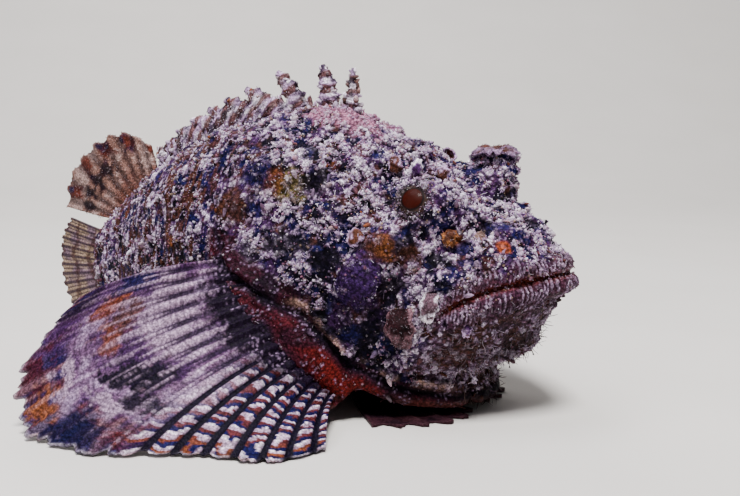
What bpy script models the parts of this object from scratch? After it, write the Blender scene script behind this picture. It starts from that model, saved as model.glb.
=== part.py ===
"""A false stonefish, life size, lying on its belly and fins with its tail swung a little to the left.

The body is grown as one form and parted by thin cuts into head, lower jaw, gill covers, torso and
tail. Each fin is a sheet with raised rays, seated in a socket with a gap all round its root.
Numbers are millimetres. +X is the way the fish faces, +Y its left side and +Z up.
"""

import math
import random
from collections import namedtuple

import bmesh
import bpy
import numpy as np
from mathutils import Matrix, Vector

MM = 0.001
GAP = 0.35

# The body before its tail swings: back and belly lines, half width, and height of the widest line.
Station = namedtuple("Station", "x back belly half_width waist")
STATIONS = [
    Station(-98, 57, 24, 7, 40),
    Station(-78, 70, 18, 13.5, 42),
    Station(-58, 85, 10, 21.5, 45),
    Station(-35, 97, 3, 31, 46),
    Station(-12, 105, -1.5, 39, 47),
    Station(10, 109, -1.5, 43, 47),
    Station(32, 108, 1.5, 44, 46),
    Station(52, 102, 5, 43, 44),
    Station(68, 90.5, 8.5, 40, 43),
    Station(82, 81, 12.5, 36, 44),
    Station(94.5, 75, 18, 31, 45),
    Station(104.5, 70, 26.5, 24, 48),
    Station(111.5, 65, 35, 17.5, 50.5),
    Station(117, 60.5, 45, 9, 53),
]
ROUNDNESS = 2.3
RINGS = 64
RING_POINTS = 48

# The tail swings to the left on an arc that starts at this x, and the head turns a little to the
# right on another. The head's stations are stretched along its arc.
TAIL_START = 10
TAIL_RADIUS = 426
HEAD_START = 40
HEAD_RADIUS = 400
HEAD_STRETCH = 1.02

# Lumps that the skin grows over, on both sides unless they lie on the middle line.
Lump = namedtuple("Lump", "x y z length width height")
LUMPS = [
    Lump(78.5, 24, 78, 12.5, 11.5, 12.5),  # turret of the eye
    Lump(90, 19, 73, 8, 7, 6),  # slope in front of the eye
    Lump(70, 22, 89, 4.5, 3.5, 4),  # tuft behind the eye
    Lump(108, 6.5, 66.5, 4.5, 4, 4),  # nostril mound
    Lump(101, 11, 69, 7, 6, 5),  # ridge of the snout
    Lump(98, 23, 62, 7, 6, 6),  # knob of the cheek
    Lump(66, 36, 66, 12, 8, 7),  # shelf under the eye
    Lump(57, 38, 52, 11, 10, 10.5),  # smooth boss of the cheek
    Lump(85, 31, 55, 12, 7, 7),  # plate in front of the boss
    Lump(74, 35.5, 35, 6.5, 5, 8),  # paddle at the corner of the mouth
    Lump(30, 38, 57, 26, 9.5, 13),  # gill cover
    Lump(50, 38, 37, 14, 7, 12),  # corner of the cheek plate
    Lump(68, 32, 25, 13, 6, 8),  # plate under the jaw joint
    Lump(50, 22, 91.5, 14, 9, 8),  # ridge of the nape
    Lump(62, 13, 86, 9, 7, 6),  # crest behind the eyes
    Lump(24, 30, 88, 20, 10, 9),  # shoulder
    Lump(24, 0, 105, 22, 16, 8),  # hump under the first spines
    Lump(98, 0, 31, 12.5, 17, 10),  # chin
]
# Lumps of the left side alone: the flap that stands over that eye, on its stalk.
LEFT_LUMPS = [
    Lump(85, 25, 88, 7, 6, 5),
    Lump(83, 26, 94.5, 9.5, 5, 2.8),
]
# Small lumps scattered over head and back, with their middles just under the skin.
WARTS = 54
WART_DEPTH = 0.965

# Fleshy flaps of the left side, each by its root, its tip and the radius of its root.
FLAPS = [
    ((80, 34, 42), (79, 39, 30), 3.0),  # at the corner of the mouth
    ((102, 9, 28), (105, 11, 18), 2.5),  # chin
    ((94, 17, 23), (95, 21, 14), 2.5),  # chin, further back
    ((107, 6.5, 67), (110.5, 7.5, 74), 2.4),  # nostril
    ((58, 43, 62), (52, 48, 58), 2.6),  # behind the shelf under the eye
]

# The mouth on either side, as x and z from the tip of the snout back and down.
MOUTH_LINE = [(119, 54.5), (113, 53), (105, 50.7), (97, 47.3), (90, 43.2), (83, 38), (76, 32), (71, 26)]
LIP_RADIUS = 3.6
LIP_SPREAD = 3.7
MOUTH_GAP = 0.9

# The free edge of the gill cover, from above the breast fin down to the throat, on the left side.
GILL_EDGE = [
    (2, 44, 62), (8, 45, 54), (21, 46, 48), (37, 46, 41), (47, 44, 31), (57, 40, 22),
    (70, 33, 15.5), (82, 24, 13), (90, 12, 12), (93, 0, 12),
]  # fmt: skip
GILL_GAP = 0.8
# The roll of gill membrane under that edge, and how far its middle lies in from the edge.
MEMBRANE_RADIUS = 6.0
MEMBRANE_SUNK = Vector((2.5, 5.0, 4.35))
# The fleshy base of the breast fin, which runs along the fin's roots and stands in from them.
FIN_BASE_RADIUS = 11.0
FIN_BASE_SUNK = Vector((0, 7, 0))

# Outlines seen from the side, as x and z, that part the body.
HEAD_OUTLINE = [
    (150, 150), (30, 150), (27, 92), (2, 63), (8, 55), (21, 48.5), (37, 41.5), (47, 31.5), (57, 22.5),
    (70, 15.5), (82, 12), (94, 8), (96, -20), (150, -20),
]  # fmt: skip
JAW_OUTLINE = [
    (150, 56), (119, 54.5), (113, 53), (105, 50.7), (97, 47.3), (90, 43.2), (83, 38), (76, 32),
    (73, 26), (78, 21), (90, 16), (93, 7), (100, -20), (150, -20),
]  # fmt: skip
GILL_COVER_OUTLINE = [
    (2, 63), (8, 55), (21, 48.5), (37, 41.5), (47, 31.5), (52, 27), (57, 37), (52, 48), (40, 62),
    (22, 72), (9, 69),
]  # fmt: skip
GILL_COVER_INNER = 26
TAIL_OUTLINE = [(-57, -20), (-57, 150), (-150, 150), (-150, -20)]

EYE = (76, 27, 78)
EYE_RADIUS = 9.2
EYE_AXIS = (-0.22, 0.74, 0.63)

BODY_VOXEL = 1.6
BODY_TRIANGLES = 5400

# Fins, each by its lines of ray roots and ray tips; paired fins are given for the left side.
# lift and outward arch the rays, incised is how deep the membrane is notched between ray tips, reaches
# are the rows from root to tip, halves are the half thickness of membrane, ray root and ray tip, and
# slot is the half thickness and the first and last reach of what the root takes out of its hosts.
Fin = namedtuple("Fin", "name paired roots tips lift outward incised rays reaches halves slot hosts")
FINS = [
    Fin(
        "pectoral_fin", True,
        [(5, 45, 57), (17, 47, 46), (28, 47.5, 33), (38, 45.5, 20), (47, 40, 9)],
        [
            (-43, 70, 43), (-51, 78, 32), (-56, 88, 18), (-50, 97, 6), (-37, 103, 0), (-14, 106, 0),
            (4, 100, 0), (20, 93, 0), (37, 91, 0), (52, 85, 0), (61, 70, 0),
        ],
        7, 5, 0.05, 17, [-0.05, 0.06, 0.22, 0.38, 0.54, 0.7, 0.86, 1], (0.3, 1.2, 0.5),
        (1.35, -0.07, 0.3), ["torso", "gill_cover_left", "gill_cover_right"],
    ),
    Fin(
        "pelvic_fin", True,
        [(53, 8, 5.6), (48, 13, 4.8), (43, 19, 4.6)],
        [(90, 7, 0), (92, 17, 0), (86, 28, 0), (77, 36, 0), (64, 41, 0)],
        -1.8, 0, 0.1, 6, [-0.1, 0.05, 0.25, 0.45, 0.65, 0.85, 1], (0.35, 1.2, 0.6),
        (1.35, -0.13, 0.35), ["torso"],
    ),
    Fin(
        "tail_fin", False,
        [(-93, 0, 54), (-94, 0, 40), (-93, 0, 27)],
        [(-122, 0, 59), (-130, 0, 50), (-132.5, 0, 38), (-130, 0, 25), (-121, 0, 13)],
        0, 0, 0.05, 12, [-0.1, 0.1, 0.3, 0.5, 0.7, 0.88, 1], (0.3, 1.0, 0.45),
        (1.1, -0.13, 0.5), ["tail"],
    ),
    Fin(
        "dorsal_soft_fin", False,
        [(-60, 0, 82), (-75, 0, 71), (-89, 0, 61)],
        [(-64, 0, 97), (-76, 0, 102), (-91, 0, 100), (-107, 0, 92), (-120, 0, 80), (-121, 0, 69)],
        0, 0, 0.06, 9, [-0.14, 0.08, 0.3, 0.5, 0.7, 0.88, 1], (0.3, 1.0, 0.45),
        (1.1, -0.18, 0.4), ["tail"],
    ),
    Fin(
        "anal_fin", False,
        [(-42, 0, 6.5), (-56, 0, 10.5), (-71, 0, 17)],
        [(-52, 0, 1.5), (-66, 0, 1.5), (-81, 0, 3), (-92, 0, 13)],
        0, 0, 0.08, 8, [-0.25, 0.1, 0.4, 0.7, 1], (0.3, 0.9, 0.5),
        (1.0, -0.33, 0.6), ["torso", "tail"],
    ),
]  # fmt: skip

# The low wall of skin along the back: first and last x, height, its foot above the back's line, and
# its half thickness at foot and top.
SPINE_WALL = (39, -55)
SPINE_WALL_HEIGHT = 6
SPINE_WALL_FOOT = 1.5
SPINE_WALL_HALVES = (1.5, 1.0)
SPINE_WALL_SUNK = -1.1
# Spines of the back as x of the root and then x, z of the tip; the first three stand up.
SPINES = [
    (34, 36, 127), (26, 23, 128.5), (15, 3, 126), (4, -12, 119), (-5, -22, 114.5), (-13, -31, 110.5),
    (-21, -40, 106), (-29, -48, 101), (-36, -54, 96), (-42, -57, 93), (-48, -59, 91), (-53, -59, 94),
]  # fmt: skip
SPINE_RADII = [3.0, 2.7, 2.3, 1.8, 0.7]
SPINE_FLATNESS = 0.6

# How far slots run along the roots of a fin and of the spines' wall, a little past both ends.
FIN_SLOT_SHARES = [-0.05, *np.linspace(0, 1, 13), 1.05]
WALL_SLOT_SHARES = [-0.007, *np.linspace(0, 1, 22), 1.007]

# Colour and roughness by what a node's name contains.
COLOURS = {
    "eye": ((0.20, 0.10, 0.07), 0.2),
    "pectoral": ((0.34, 0.22, 0.24), 0.6),
    "fin": ((0.36, 0.24, 0.18), 0.6),
    "spines": ((0.42, 0.33, 0.36), 0.7),
    "jaw": ((0.30, 0.24, 0.26), 0.7),
    "": ((0.27, 0.20, 0.25), 0.7),
}


def hermite(at, places, values):
    """The point at a place on the smooth curve through points at rising places."""
    places = np.asarray(places, float)
    values = np.asarray(values, float)
    slopes = np.gradient(values, places, axis=0)
    i = int(np.clip(np.searchsorted(places, at) - 1, 0, len(places) - 2))
    span = places[i + 1] - places[i]
    u = min(1.0, max(0.0, (at - places[i]) / span))
    return (
        (2 * u**3 - 3 * u**2 + 1) * values[i]
        + (u**3 - 2 * u**2 + u) * span * slopes[i]
        + (3 * u**2 - 2 * u**3) * values[i + 1]
        + (u**3 - u**2) * span * slopes[i + 1]
    )


def along(line, share):
    """The point a share of the way along a line of points, running straight on past its ends."""
    at = min(1.0, max(0.0, share)) * (len(line) - 1)
    point = hermite(at, range(len(line)), line)
    if share < 0:
        point = point + share * (len(line) - 1) * (np.subtract(line[1], line[0]))
    if share > 1:
        point = point + (share - 1) * (len(line) - 1) * (np.subtract(line[-1], line[-2]))
    return point


def section(x):
    """Back, belly, half width and waist of the body at x."""
    return hermite(x, [station.x for station in STATIONS], [station[1:] for station in STATIONS])


def flank(x, z):
    """How far the body reaches from its middle plane at x and z."""
    back, belly, half_width, waist = section(x)
    reach = back - waist if z > waist else waist - belly
    share = min(1.0, abs(z - waist) / reach)
    return half_width * (1 - share**ROUNDNESS) ** (1 / ROUNDNESS)


def new_object(name, points, faces):
    """An object from points in millimetres, with its faces turned outward."""
    mesh = bpy.data.meshes.new(name)
    mesh.from_pydata([tuple(MM * float(c) for c in p) for p in points], [], faces)
    obj = bpy.data.objects.new(name, mesh)
    bpy.context.scene.collection.objects.link(obj)
    shape = bmesh.new()
    shape.from_mesh(mesh)
    bmesh.ops.recalc_face_normals(shape, faces=shape.faces)
    if shape.calc_volume(signed=True) < 0:
        bmesh.ops.reverse_faces(shape, faces=shape.faces)
    shape.to_mesh(mesh)
    shape.free()
    return obj


def ellipsoid(centre, radii, segments=24):
    """A closed round form with a radius along each axis."""
    points = [(0, 0, -1)]
    rings = segments // 2
    for j in range(1, rings):
        angle = math.pi * j / rings
        for k in range(segments):
            turn = 2 * math.pi * k / segments
            points.append((math.sin(angle) * math.cos(turn), math.sin(angle) * math.sin(turn), -math.cos(angle)))
    points.append((0, 0, 1))
    faces = []
    for k in range(segments):
        following = (k + 1) % segments
        faces.append((0, 1 + following, 1 + k))
        for j in range(rings - 2):
            a, b = 1 + j * segments + k, 1 + j * segments + following
            faces.append((a, b, b + segments, a + segments))
        last = 1 + (rings - 2) * segments
        faces.append((last + k, last + following, len(points) - 1))
    return new_object("ellipsoid", np.array(points) * radii + centre, faces)


def tube(path, radii, sides=8, flatness=1.0):
    """A closed tube through the points of a path, with a radius at each."""
    path = [Vector(p) for p in path]
    points = []
    for i, centre in enumerate(path):
        ahead = (path[min(i + 1, len(path) - 1)] - path[max(i - 1, 0)]).normalized()
        across = ahead.cross(Vector((0, 1, 0)) if abs(ahead.y) < 0.9 else Vector((1, 0, 0))).normalized()
        up = across.cross(ahead)
        for k in range(sides):
            angle = 2 * math.pi * k / sides
            points.append(centre + radii[i] * (math.cos(angle) * across + flatness * math.sin(angle) * up))
    faces = [tuple(range(sides))]
    for i in range(len(path) - 1):
        for k in range(sides):
            a, b = i * sides + k, i * sides + (k + 1) % sides
            faces.append((a, b, b + sides, a + sides))
    last = (len(path) - 1) * sides
    faces.append(tuple(range(last, last + sides)))
    return new_object("tube", points, faces)


def prism(outline, low, high, margin=0.0):
    """A solid with an outline in x and z, from y = low to y = high, grown by a margin."""
    corners = [Vector(c) for c in outline]
    turning = sum(a.x * b.y - b.x * a.y for a, b in zip(corners, corners[1:] + corners[:1]))
    grown = []
    for before, corner, after in zip(corners[-1:] + corners, corners, corners[1:] + corners[:1]):
        normals = []
        for edge in (corner - before, after - corner):
            normals.append(Vector((edge.y, -edge.x)).normalized() * math.copysign(1, turning))
        middle = (normals[0] + normals[1]).normalized()
        grown.append(corner + middle * margin / middle.dot(normals[0]))
    low, high = low - margin, high + margin
    points = [(c.x, low, c.y) for c in grown] + [(c.x, high, c.y) for c in grown]
    count = len(grown)
    faces = [tuple(range(count)), tuple(range(count, 2 * count))]
    faces += [(i, (i + 1) % count, (i + 1) % count + count, i + count) for i in range(count)]
    return new_object("prism", points, faces)


def sheet(name, surface, shares, reaches, half):
    """A thin solid round a surface: a function of share (across) and reach (root to tip).

    half gives the half thickness. Both sides carry the same diagonals, so they stay parallel.
    """
    middle = np.array([[surface(s, t) for t in reaches] for s in shares])
    across = np.gradient(middle, axis=0)
    outward = np.gradient(middle, axis=1)
    normals = np.cross(across, outward)
    normals /= np.linalg.norm(normals, axis=2)[:, :, None]
    thickness = np.array([[half(s, t) for t in reaches] for s in shares])
    middle[:, :, 2] = np.maximum(middle[:, :, 2], thickness * 1.02)
    columns, rows = len(shares), len(reaches)
    count = columns * rows
    points = np.concatenate(
        [(middle + sign * normals * thickness[:, :, None]).reshape(count, 3) for sign in (1, -1)]
    )
    faces = []
    for i in range(columns - 1):
        for j in range(rows - 1):
            a, b = i * rows + j, (i + 1) * rows + j
            for face in ((a, b, b + 1), (a, b + 1, a + 1)):
                faces += [face, tuple(v + count for v in reversed(face))]
    border = [i * rows for i in range(columns)]
    border += [(columns - 1) * rows + j for j in range(1, rows)]
    border += [i * rows + rows - 1 for i in range(columns - 2, -1, -1)]
    border += [j for j in range(rows - 2, 0, -1)]
    for a, b in zip(border, border[1:] + border[:1]):
        faces += [(a, a + count, b + count), (a, b + count, b)]
    return new_object(name, points, faces)


def remove(*objects):
    for obj in objects:
        bpy.data.objects.remove(obj)


def apply_modifiers(obj):
    graph = bpy.context.evaluated_depsgraph_get()
    made = bpy.data.meshes.new_from_object(obj.evaluated_get(graph))
    obj.modifiers.clear()
    obj.data = made


def boolean(obj, others, operation):
    """Joins the other objects to obj, cuts them from it or keeps what they share, and removes them."""
    group = bpy.data.collections.new("operands")
    bpy.context.scene.collection.children.link(group)
    for other in others:
        group.objects.link(other)
    modifier = obj.modifiers.new("boolean", "BOOLEAN")
    modifier.operation = operation
    modifier.solver = "EXACT"
    modifier.operand_type = "COLLECTION"
    modifier.collection = group
    apply_modifiers(obj)
    remove(*others)
    bpy.data.collections.remove(group)
    return obj


def duplicate(obj, name):
    copy = obj.copy()
    copy.data = obj.data.copy()
    copy.name = name
    bpy.context.scene.collection.objects.link(copy)
    return copy


def mirrored(obj, name):
    """A copy of obj on the fish's other side."""
    copy = duplicate(obj, name)
    copy.data.transform(Matrix.Scale(-1, 4, Vector((0, 1, 0))))
    copy.data.flip_normals()
    return copy


def keep_largest(obj):
    """Drops every closed surface of obj but its largest."""
    shape = bmesh.new()
    shape.from_mesh(obj.data)
    left = set(shape.verts)
    pieces = []
    while left:
        stack = [left.pop()]
        piece = set(stack)
        while stack:
            for edge in stack.pop().link_edges:
                for vertex in edge.verts:
                    if vertex not in piece:
                        piece.add(vertex)
                        stack.append(vertex)
        left -= piece
        pieces.append(piece)
    pieces.sort(key=len, reverse=True)
    for piece in pieces[1:]:
        bmesh.ops.delete(shape, geom=list(piece), context="VERTS")
    shape.to_mesh(obj.data)
    shape.free()


def swing(obj, tail):
    """Bends obj round the head's arc, and round the tail's if tail is true."""
    for vertex in obj.data.vertices:
        x, y, z = vertex.co / MM
        if x > HEAD_START:
            angle = (x - HEAD_START) * HEAD_STRETCH / HEAD_RADIUS
            x = HEAD_START + (HEAD_RADIUS + y) * math.sin(angle)
            y = (HEAD_RADIUS + y) * math.cos(angle) - HEAD_RADIUS
        if tail and x < TAIL_START:
            angle = (TAIL_START - x) / TAIL_RADIUS
            x = TAIL_START - (TAIL_RADIUS - y) * math.sin(angle)
            y = TAIL_RADIUS - (TAIL_RADIUS - y) * math.cos(angle)
        vertex.co = Vector((x, y, z)) * MM


def body_loft():
    points = []
    for x in np.linspace(STATIONS[0].x, STATIONS[-1].x, RINGS):
        back, belly, half_width, waist = section(x)
        for k in range(RING_POINTS):
            angle = 2 * math.pi * k / RING_POINTS
            c, s = math.cos(angle), math.sin(angle)
            height = back - waist if s > 0 else waist - belly
            y = half_width * math.copysign(abs(c) ** (2 / ROUNDNESS), c)
            z = waist + height * math.copysign(abs(s) ** (2 / ROUNDNESS), s)
            points.append((x, y, z))
    faces = [tuple(range(RING_POINTS))]
    for i in range(RINGS - 1):
        for k in range(RING_POINTS):
            a, b = i * RING_POINTS + k, i * RING_POINTS + (k + 1) % RING_POINTS
            faces.append((a, a + RING_POINTS, b + RING_POINTS, b))
    first = (RINGS - 1) * RING_POINTS
    faces.append(tuple(range(first, first + RING_POINTS)))
    return new_object("body", points, faces)


def mouth_path(raised, sunk):
    """The mouth line round the snout from the left corner to the right, raised across itself."""
    curve = np.array([along(MOUTH_LINE, share) for share in np.linspace(0, 1, 24)])
    slopes = np.gradient(curve, axis=0)
    left = []
    for (x, z), (dx, dz) in zip(curve, slopes):
        length = math.hypot(dx, dz)
        x, z = x + raised * dz / length, z - raised * dx / length
        left.append(Vector((x, flank(x, z) - sunk, z)))
    right = [Vector((p.x, -p.y, p.z)) for p in left]
    return left[::-1] + right


def gill_path():
    """A line inside the gill cover's edge, from the left side round the throat to the right."""
    left = []
    for share in np.linspace(0, 1, 30):
        x, y, z = along(GILL_EDGE, share)
        left.append(Vector((x, max(0.0, y), z)) - MEMBRANE_SUNK)
        left[-1].y = max(0.0, left[-1].y)
    right = [Vector((p.x, -p.y, p.z)) for p in left[-2::-1]]
    return left + right


def lips():
    pieces = []
    for raised in (-LIP_SPREAD, LIP_SPREAD):
        path = mouth_path(raised, 0.4 * LIP_RADIUS)
        middle = len(path) / 2
        radii = [LIP_RADIUS * (1.0 - 0.35 * abs(i - middle) / middle) for i in range(len(path))]
        pieces.append(tube(path, radii, 10))
    return pieces


def lid():
    """A thick rim of skin round the left eye, higher over the top."""
    axis = Vector(EYE_AXIS).normalized()
    across = axis.cross(Vector((0, 0, 1))).normalized()
    up = across.cross(axis).normalized()
    path = []
    radii = []
    for k in range(25):
        angle = 2 * math.pi * k / 24
        spread = across * math.cos(angle) + up * math.sin(angle)
        path.append(Vector(EYE) + 0.45 * EYE_RADIUS * axis + 0.98 * EYE_RADIUS * spread)
        radii.append(2.3 + 0.7 * max(0.0, math.sin(angle)))
    return tube(path, radii)


def warts():
    """Small lumps scattered over the head and back."""
    chance = random.Random(7)
    pieces = []
    for _ in range(WARTS):
        x = chance.uniform(-50, 112)
        back, belly, half_width, waist = section(x)
        turn = chance.uniform(0.05, 0.95) * math.pi
        c, s = math.cos(turn), math.sin(turn)
        y = WART_DEPTH * half_width * math.copysign(abs(c) ** (2 / ROUNDNESS), c)
        z = waist + WART_DEPTH * (back - waist) * s ** (2 / ROUNDNESS)
        size = chance.uniform(2.8, 5.2)
        pieces.append(ellipsoid((x, y, z), (1.4 * size, size, size), 12))
    return pieces


def grown_body():
    """Body, lumps, lips, lids and gill membrane grown together into one skin."""
    pieces = [*lips(), *warts()]
    membrane = gill_path()
    pieces.append(tube(membrane, [MEMBRANE_RADIUS] * len(membrane)))
    arm = [Vector(along(FINS[0].roots, share)) - FIN_BASE_SUNK for share in np.linspace(-0.02, 1, 9)]
    base = tube(arm, [FIN_BASE_RADIUS] * len(arm), 16)
    flaps = [tube([root, np.add(root, tip) / 2, tip], [r, 0.9 * r, 0.6 * r]) for root, tip, r in FLAPS]
    pieces += [ellipsoid(lump[:3], lump[3:]) for lump in LEFT_LUMPS]
    for piece in [lid(), base, *flaps] + [ellipsoid(lump[:3], lump[3:]) for lump in LUMPS]:
        pieces.append(piece)
        pieces.append(mirrored(piece, "mirrored"))
    body = body_loft()
    shape = bmesh.new()
    shape.from_mesh(body.data)
    for piece in pieces:
        shape.from_mesh(piece.data)
    shape.to_mesh(body.data)
    shape.free()
    remove(*pieces)
    remesh = body.modifiers.new("grow together", "REMESH")
    remesh.mode = "VOXEL"
    remesh.voxel_size = BODY_VOXEL * MM
    smooth = body.modifiers.new("smooth", "SMOOTH")
    smooth.iterations = 4
    smooth.factor = 0.5
    apply_modifiers(body)
    decimate = body.modifiers.new("coarsen", "DECIMATE")
    decimate.ratio = BODY_TRIANGLES / (2 * len(body.data.polygons))
    decimate.use_collapse_triangulate = True
    apply_modifiers(body)
    for vertex in body.data.vertices:
        vertex.co.z = max(0.0, vertex.co.z)
    keep_largest(body)
    return body


def fan(roots, tips, lift, outward=0.0, incised=0.05, rays=6):
    """A surface whose rays run from roots to tips, arched by lift and outward, notched between rays."""

    def surface(share, reach):
        root, tip = along(roots, share), along(tips, share)
        bend = (root + tip) / 2 + (0, outward, lift)
        between = 0.5 - 0.5 * math.cos(2 * math.pi * share * (rays - 1))
        t = reach * (1 - incised * between * max(0.0, reach) ** 3)
        return (1 - t) ** 2 * root + 2 * t * (1 - t) * bend + t * t * tip if t > 0 else root + 2 * t * (bend - root)

    return surface


def ridged(rays, membrane, root, tip):
    """Half thickness of a fin: rays that taper from root to tip over a thinner membrane."""

    def half(share, reach):
        ridge = 0.5 + 0.5 * math.cos(2 * math.pi * share * (rays - 1))
        return membrane + ridge * (root + (tip - root) * max(0.0, reach) - membrane)

    return half


def clear_scene():
    for obj in list(bpy.data.objects):
        bpy.data.objects.remove(obj)


def part_body(body):
    """Parts the grown body by narrow cuts, into a dictionary of node names and objects."""
    names = ("head", "lower_jaw", "gill_cover_left", "gill_cover_right", "torso", "tail")
    parts = {name: duplicate(body, name) for name in names}
    remove(body)
    near, far = GILL_COVER_INNER, 80
    inside, outside = -GAP / 2, GAP / 2
    boolean(parts["lower_jaw"], [prism(JAW_OUTLINE, -far, far, inside)], "INTERSECT")
    boolean(parts["gill_cover_left"], [prism(GILL_COVER_OUTLINE, near, far, inside)], "INTERSECT")
    boolean(parts["gill_cover_right"], [prism(GILL_COVER_OUTLINE, -far, -near, inside)], "INTERSECT")
    boolean(parts["tail"], [prism(TAIL_OUTLINE, -far, far, inside)], "INTERSECT")
    boolean(parts["head"], [prism(HEAD_OUTLINE, -far, far, inside)], "INTERSECT")
    boolean(parts["head"], [prism(JAW_OUTLINE, -far, far, MOUTH_GAP - GAP / 2)], "DIFFERENCE")
    boolean(parts["head"], [prism(GILL_COVER_OUTLINE, near, far, outside)], "DIFFERENCE")
    boolean(parts["head"], [prism(GILL_COVER_OUTLINE, -far, -near, outside)], "DIFFERENCE")
    boolean(parts["torso"], [prism(HEAD_OUTLINE, -far, far, GILL_GAP - GAP / 2)], "DIFFERENCE")
    boolean(parts["torso"], [prism(TAIL_OUTLINE, -far, far, outside)], "DIFFERENCE")
    return parts


def add_fin(fin, parts):
    """Builds a fin and its fellow on the other side, and sinks their roots in slots in the body."""
    surface = fan(fin.roots, fin.tips, fin.lift, fin.outward, fin.incised, fin.rays)
    shares = np.linspace(0, 1, 2 * fin.rays - 1)
    name = fin.name + "_left" if fin.paired else fin.name
    made = sheet(name, surface, shares, fin.reaches, ridged(fin.rays, *fin.halves))
    half, first, last = fin.slot
    reaches = [first, *np.linspace(0, last, 5)]
    for host in fin.hosts:
        slots = [sheet("slot", surface, FIN_SLOT_SHARES, reaches, lambda s, t: half + GAP)]
        if fin.paired:
            slots.append(mirrored(slots[0], "slot"))
        boolean(parts[host], slots, "DIFFERENCE")
    parts[name] = made
    if fin.paired:
        parts[fin.name + "_right"] = mirrored(made, fin.name + "_right")


def add_spines(parts):
    """The spines of the back, risen from one low wall of skin that is sunk in the back."""

    def wall(share, reach, rise=SPINE_WALL_HEIGHT):
        x = SPINE_WALL[0] + (SPINE_WALL[1] - SPINE_WALL[0]) * share
        return np.array((x, 0, section(x)[0] + SPINE_WALL_FOOT + rise * reach))

    def ragged_wall(share, reach):
        taper = min(1, 0.2 + 8 * share, 0.2 + 8 * (1 - share)) if reach > 0 else 1
        return wall(share, reach, SPINE_WALL_HEIGHT * taper)

    def half(share, reach):
        foot, top = SPINE_WALL_HALVES
        return foot + (top - foot) * max(0.0, reach)

    made = sheet("wall", ragged_wall, WALL_SLOT_SHARES[1:-1], [SPINE_WALL_SUNK, 0, 1], half)
    spines = []
    for x, tip_x, tip_z in SPINES:
        root, tip = Vector((x, 0, section(x)[0] - 0.5)), Vector((tip_x, 0, tip_z))
        path = [root.lerp(tip, t) for t in (0, 0.3, 0.55, 0.8, 1)]
        spines.append(tube(path, SPINE_RADII, 6, SPINE_FLATNESS))
    boolean(made, spines, "UNION")
    slot_half = SPINE_RADII[0] * SPINE_FLATNESS + GAP
    for host in ("torso", "head"):
        depths = [SPINE_WALL_SUNK - GAP / SPINE_WALL_HEIGHT, 0, 1.2]
        slot = sheet("slot", wall, WALL_SLOT_SHARES, depths, lambda s, t: slot_half)
        boolean(parts[host], [slot], "DIFFERENCE")
    parts["dorsal_spines"] = made


def add_eyes(parts):
    parts["eye_left"] = ellipsoid(EYE, (EYE_RADIUS,) * 3, 20)
    parts["eye_right"] = mirrored(parts["eye_left"], "eye_right")
    hollow = ellipsoid(EYE, (EYE_RADIUS + GAP,) * 3, 20)
    boolean(parts["head"], [hollow, mirrored(hollow, "hollow")], "DIFFERENCE")


def material(name):
    """The plain colour of a node; the fine colouring is made elsewhere."""
    kind = next(kind for kind in COLOURS if kind in name)
    colour, roughness = COLOURS[kind]
    made = bpy.data.materials.new(name)
    made.use_nodes = True
    shader = made.node_tree.nodes["Principled BSDF"]
    shader.inputs["Base Color"].default_value = (*colour, 1)
    shader.inputs["Roughness"].default_value = roughness
    made.diffuse_color = (*colour, 1)
    return made


def finish(name, obj, shift):
    """Names, triangulates, shades and colours a node, and moves it to the model's own origin."""
    keep_largest(obj)
    shape = bmesh.new()
    shape.from_mesh(obj.data)
    bmesh.ops.triangulate(shape, faces=shape.faces)
    shape.to_mesh(obj.data)
    shape.free()
    obj.data.transform(Matrix.Translation(shift))
    obj.data.shade_smooth()
    obj.data.set_sharp_from_angle(angle=math.radians(50))
    obj.data.materials.clear()
    obj.data.materials.append(material(name))
    obj.name = name
    obj.data.name = name


def main():
    clear_scene()
    parts = part_body(grown_body())
    add_eyes(parts)
    for fin in FINS:
        add_fin(fin, parts)
    add_spines(parts)
    for name, obj in parts.items():
        swing(obj, tail=not name.startswith("pectoral"))
    corners = np.array([vertex.co for obj in parts.values() for vertex in obj.data.vertices])
    low, high = corners.min(axis=0), corners.max(axis=0)
    shift = Vector((-(low[0] + high[0]) / 2, -(low[1] + high[1]) / 2, 0))
    for name, obj in parts.items():
        finish(name, obj, shift)


main()
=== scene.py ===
"""The looks of a false stonefish: frosted warty skin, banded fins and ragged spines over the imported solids.

Lengths are millimetres, and meshes are made in metres. +X is the way the fish faces, +Y its left side
and +Z up. Marks are given by places on the fish's right side and lie on both sides.
"""

import itertools
import math
from collections import namedtuple
from functools import partial

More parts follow.
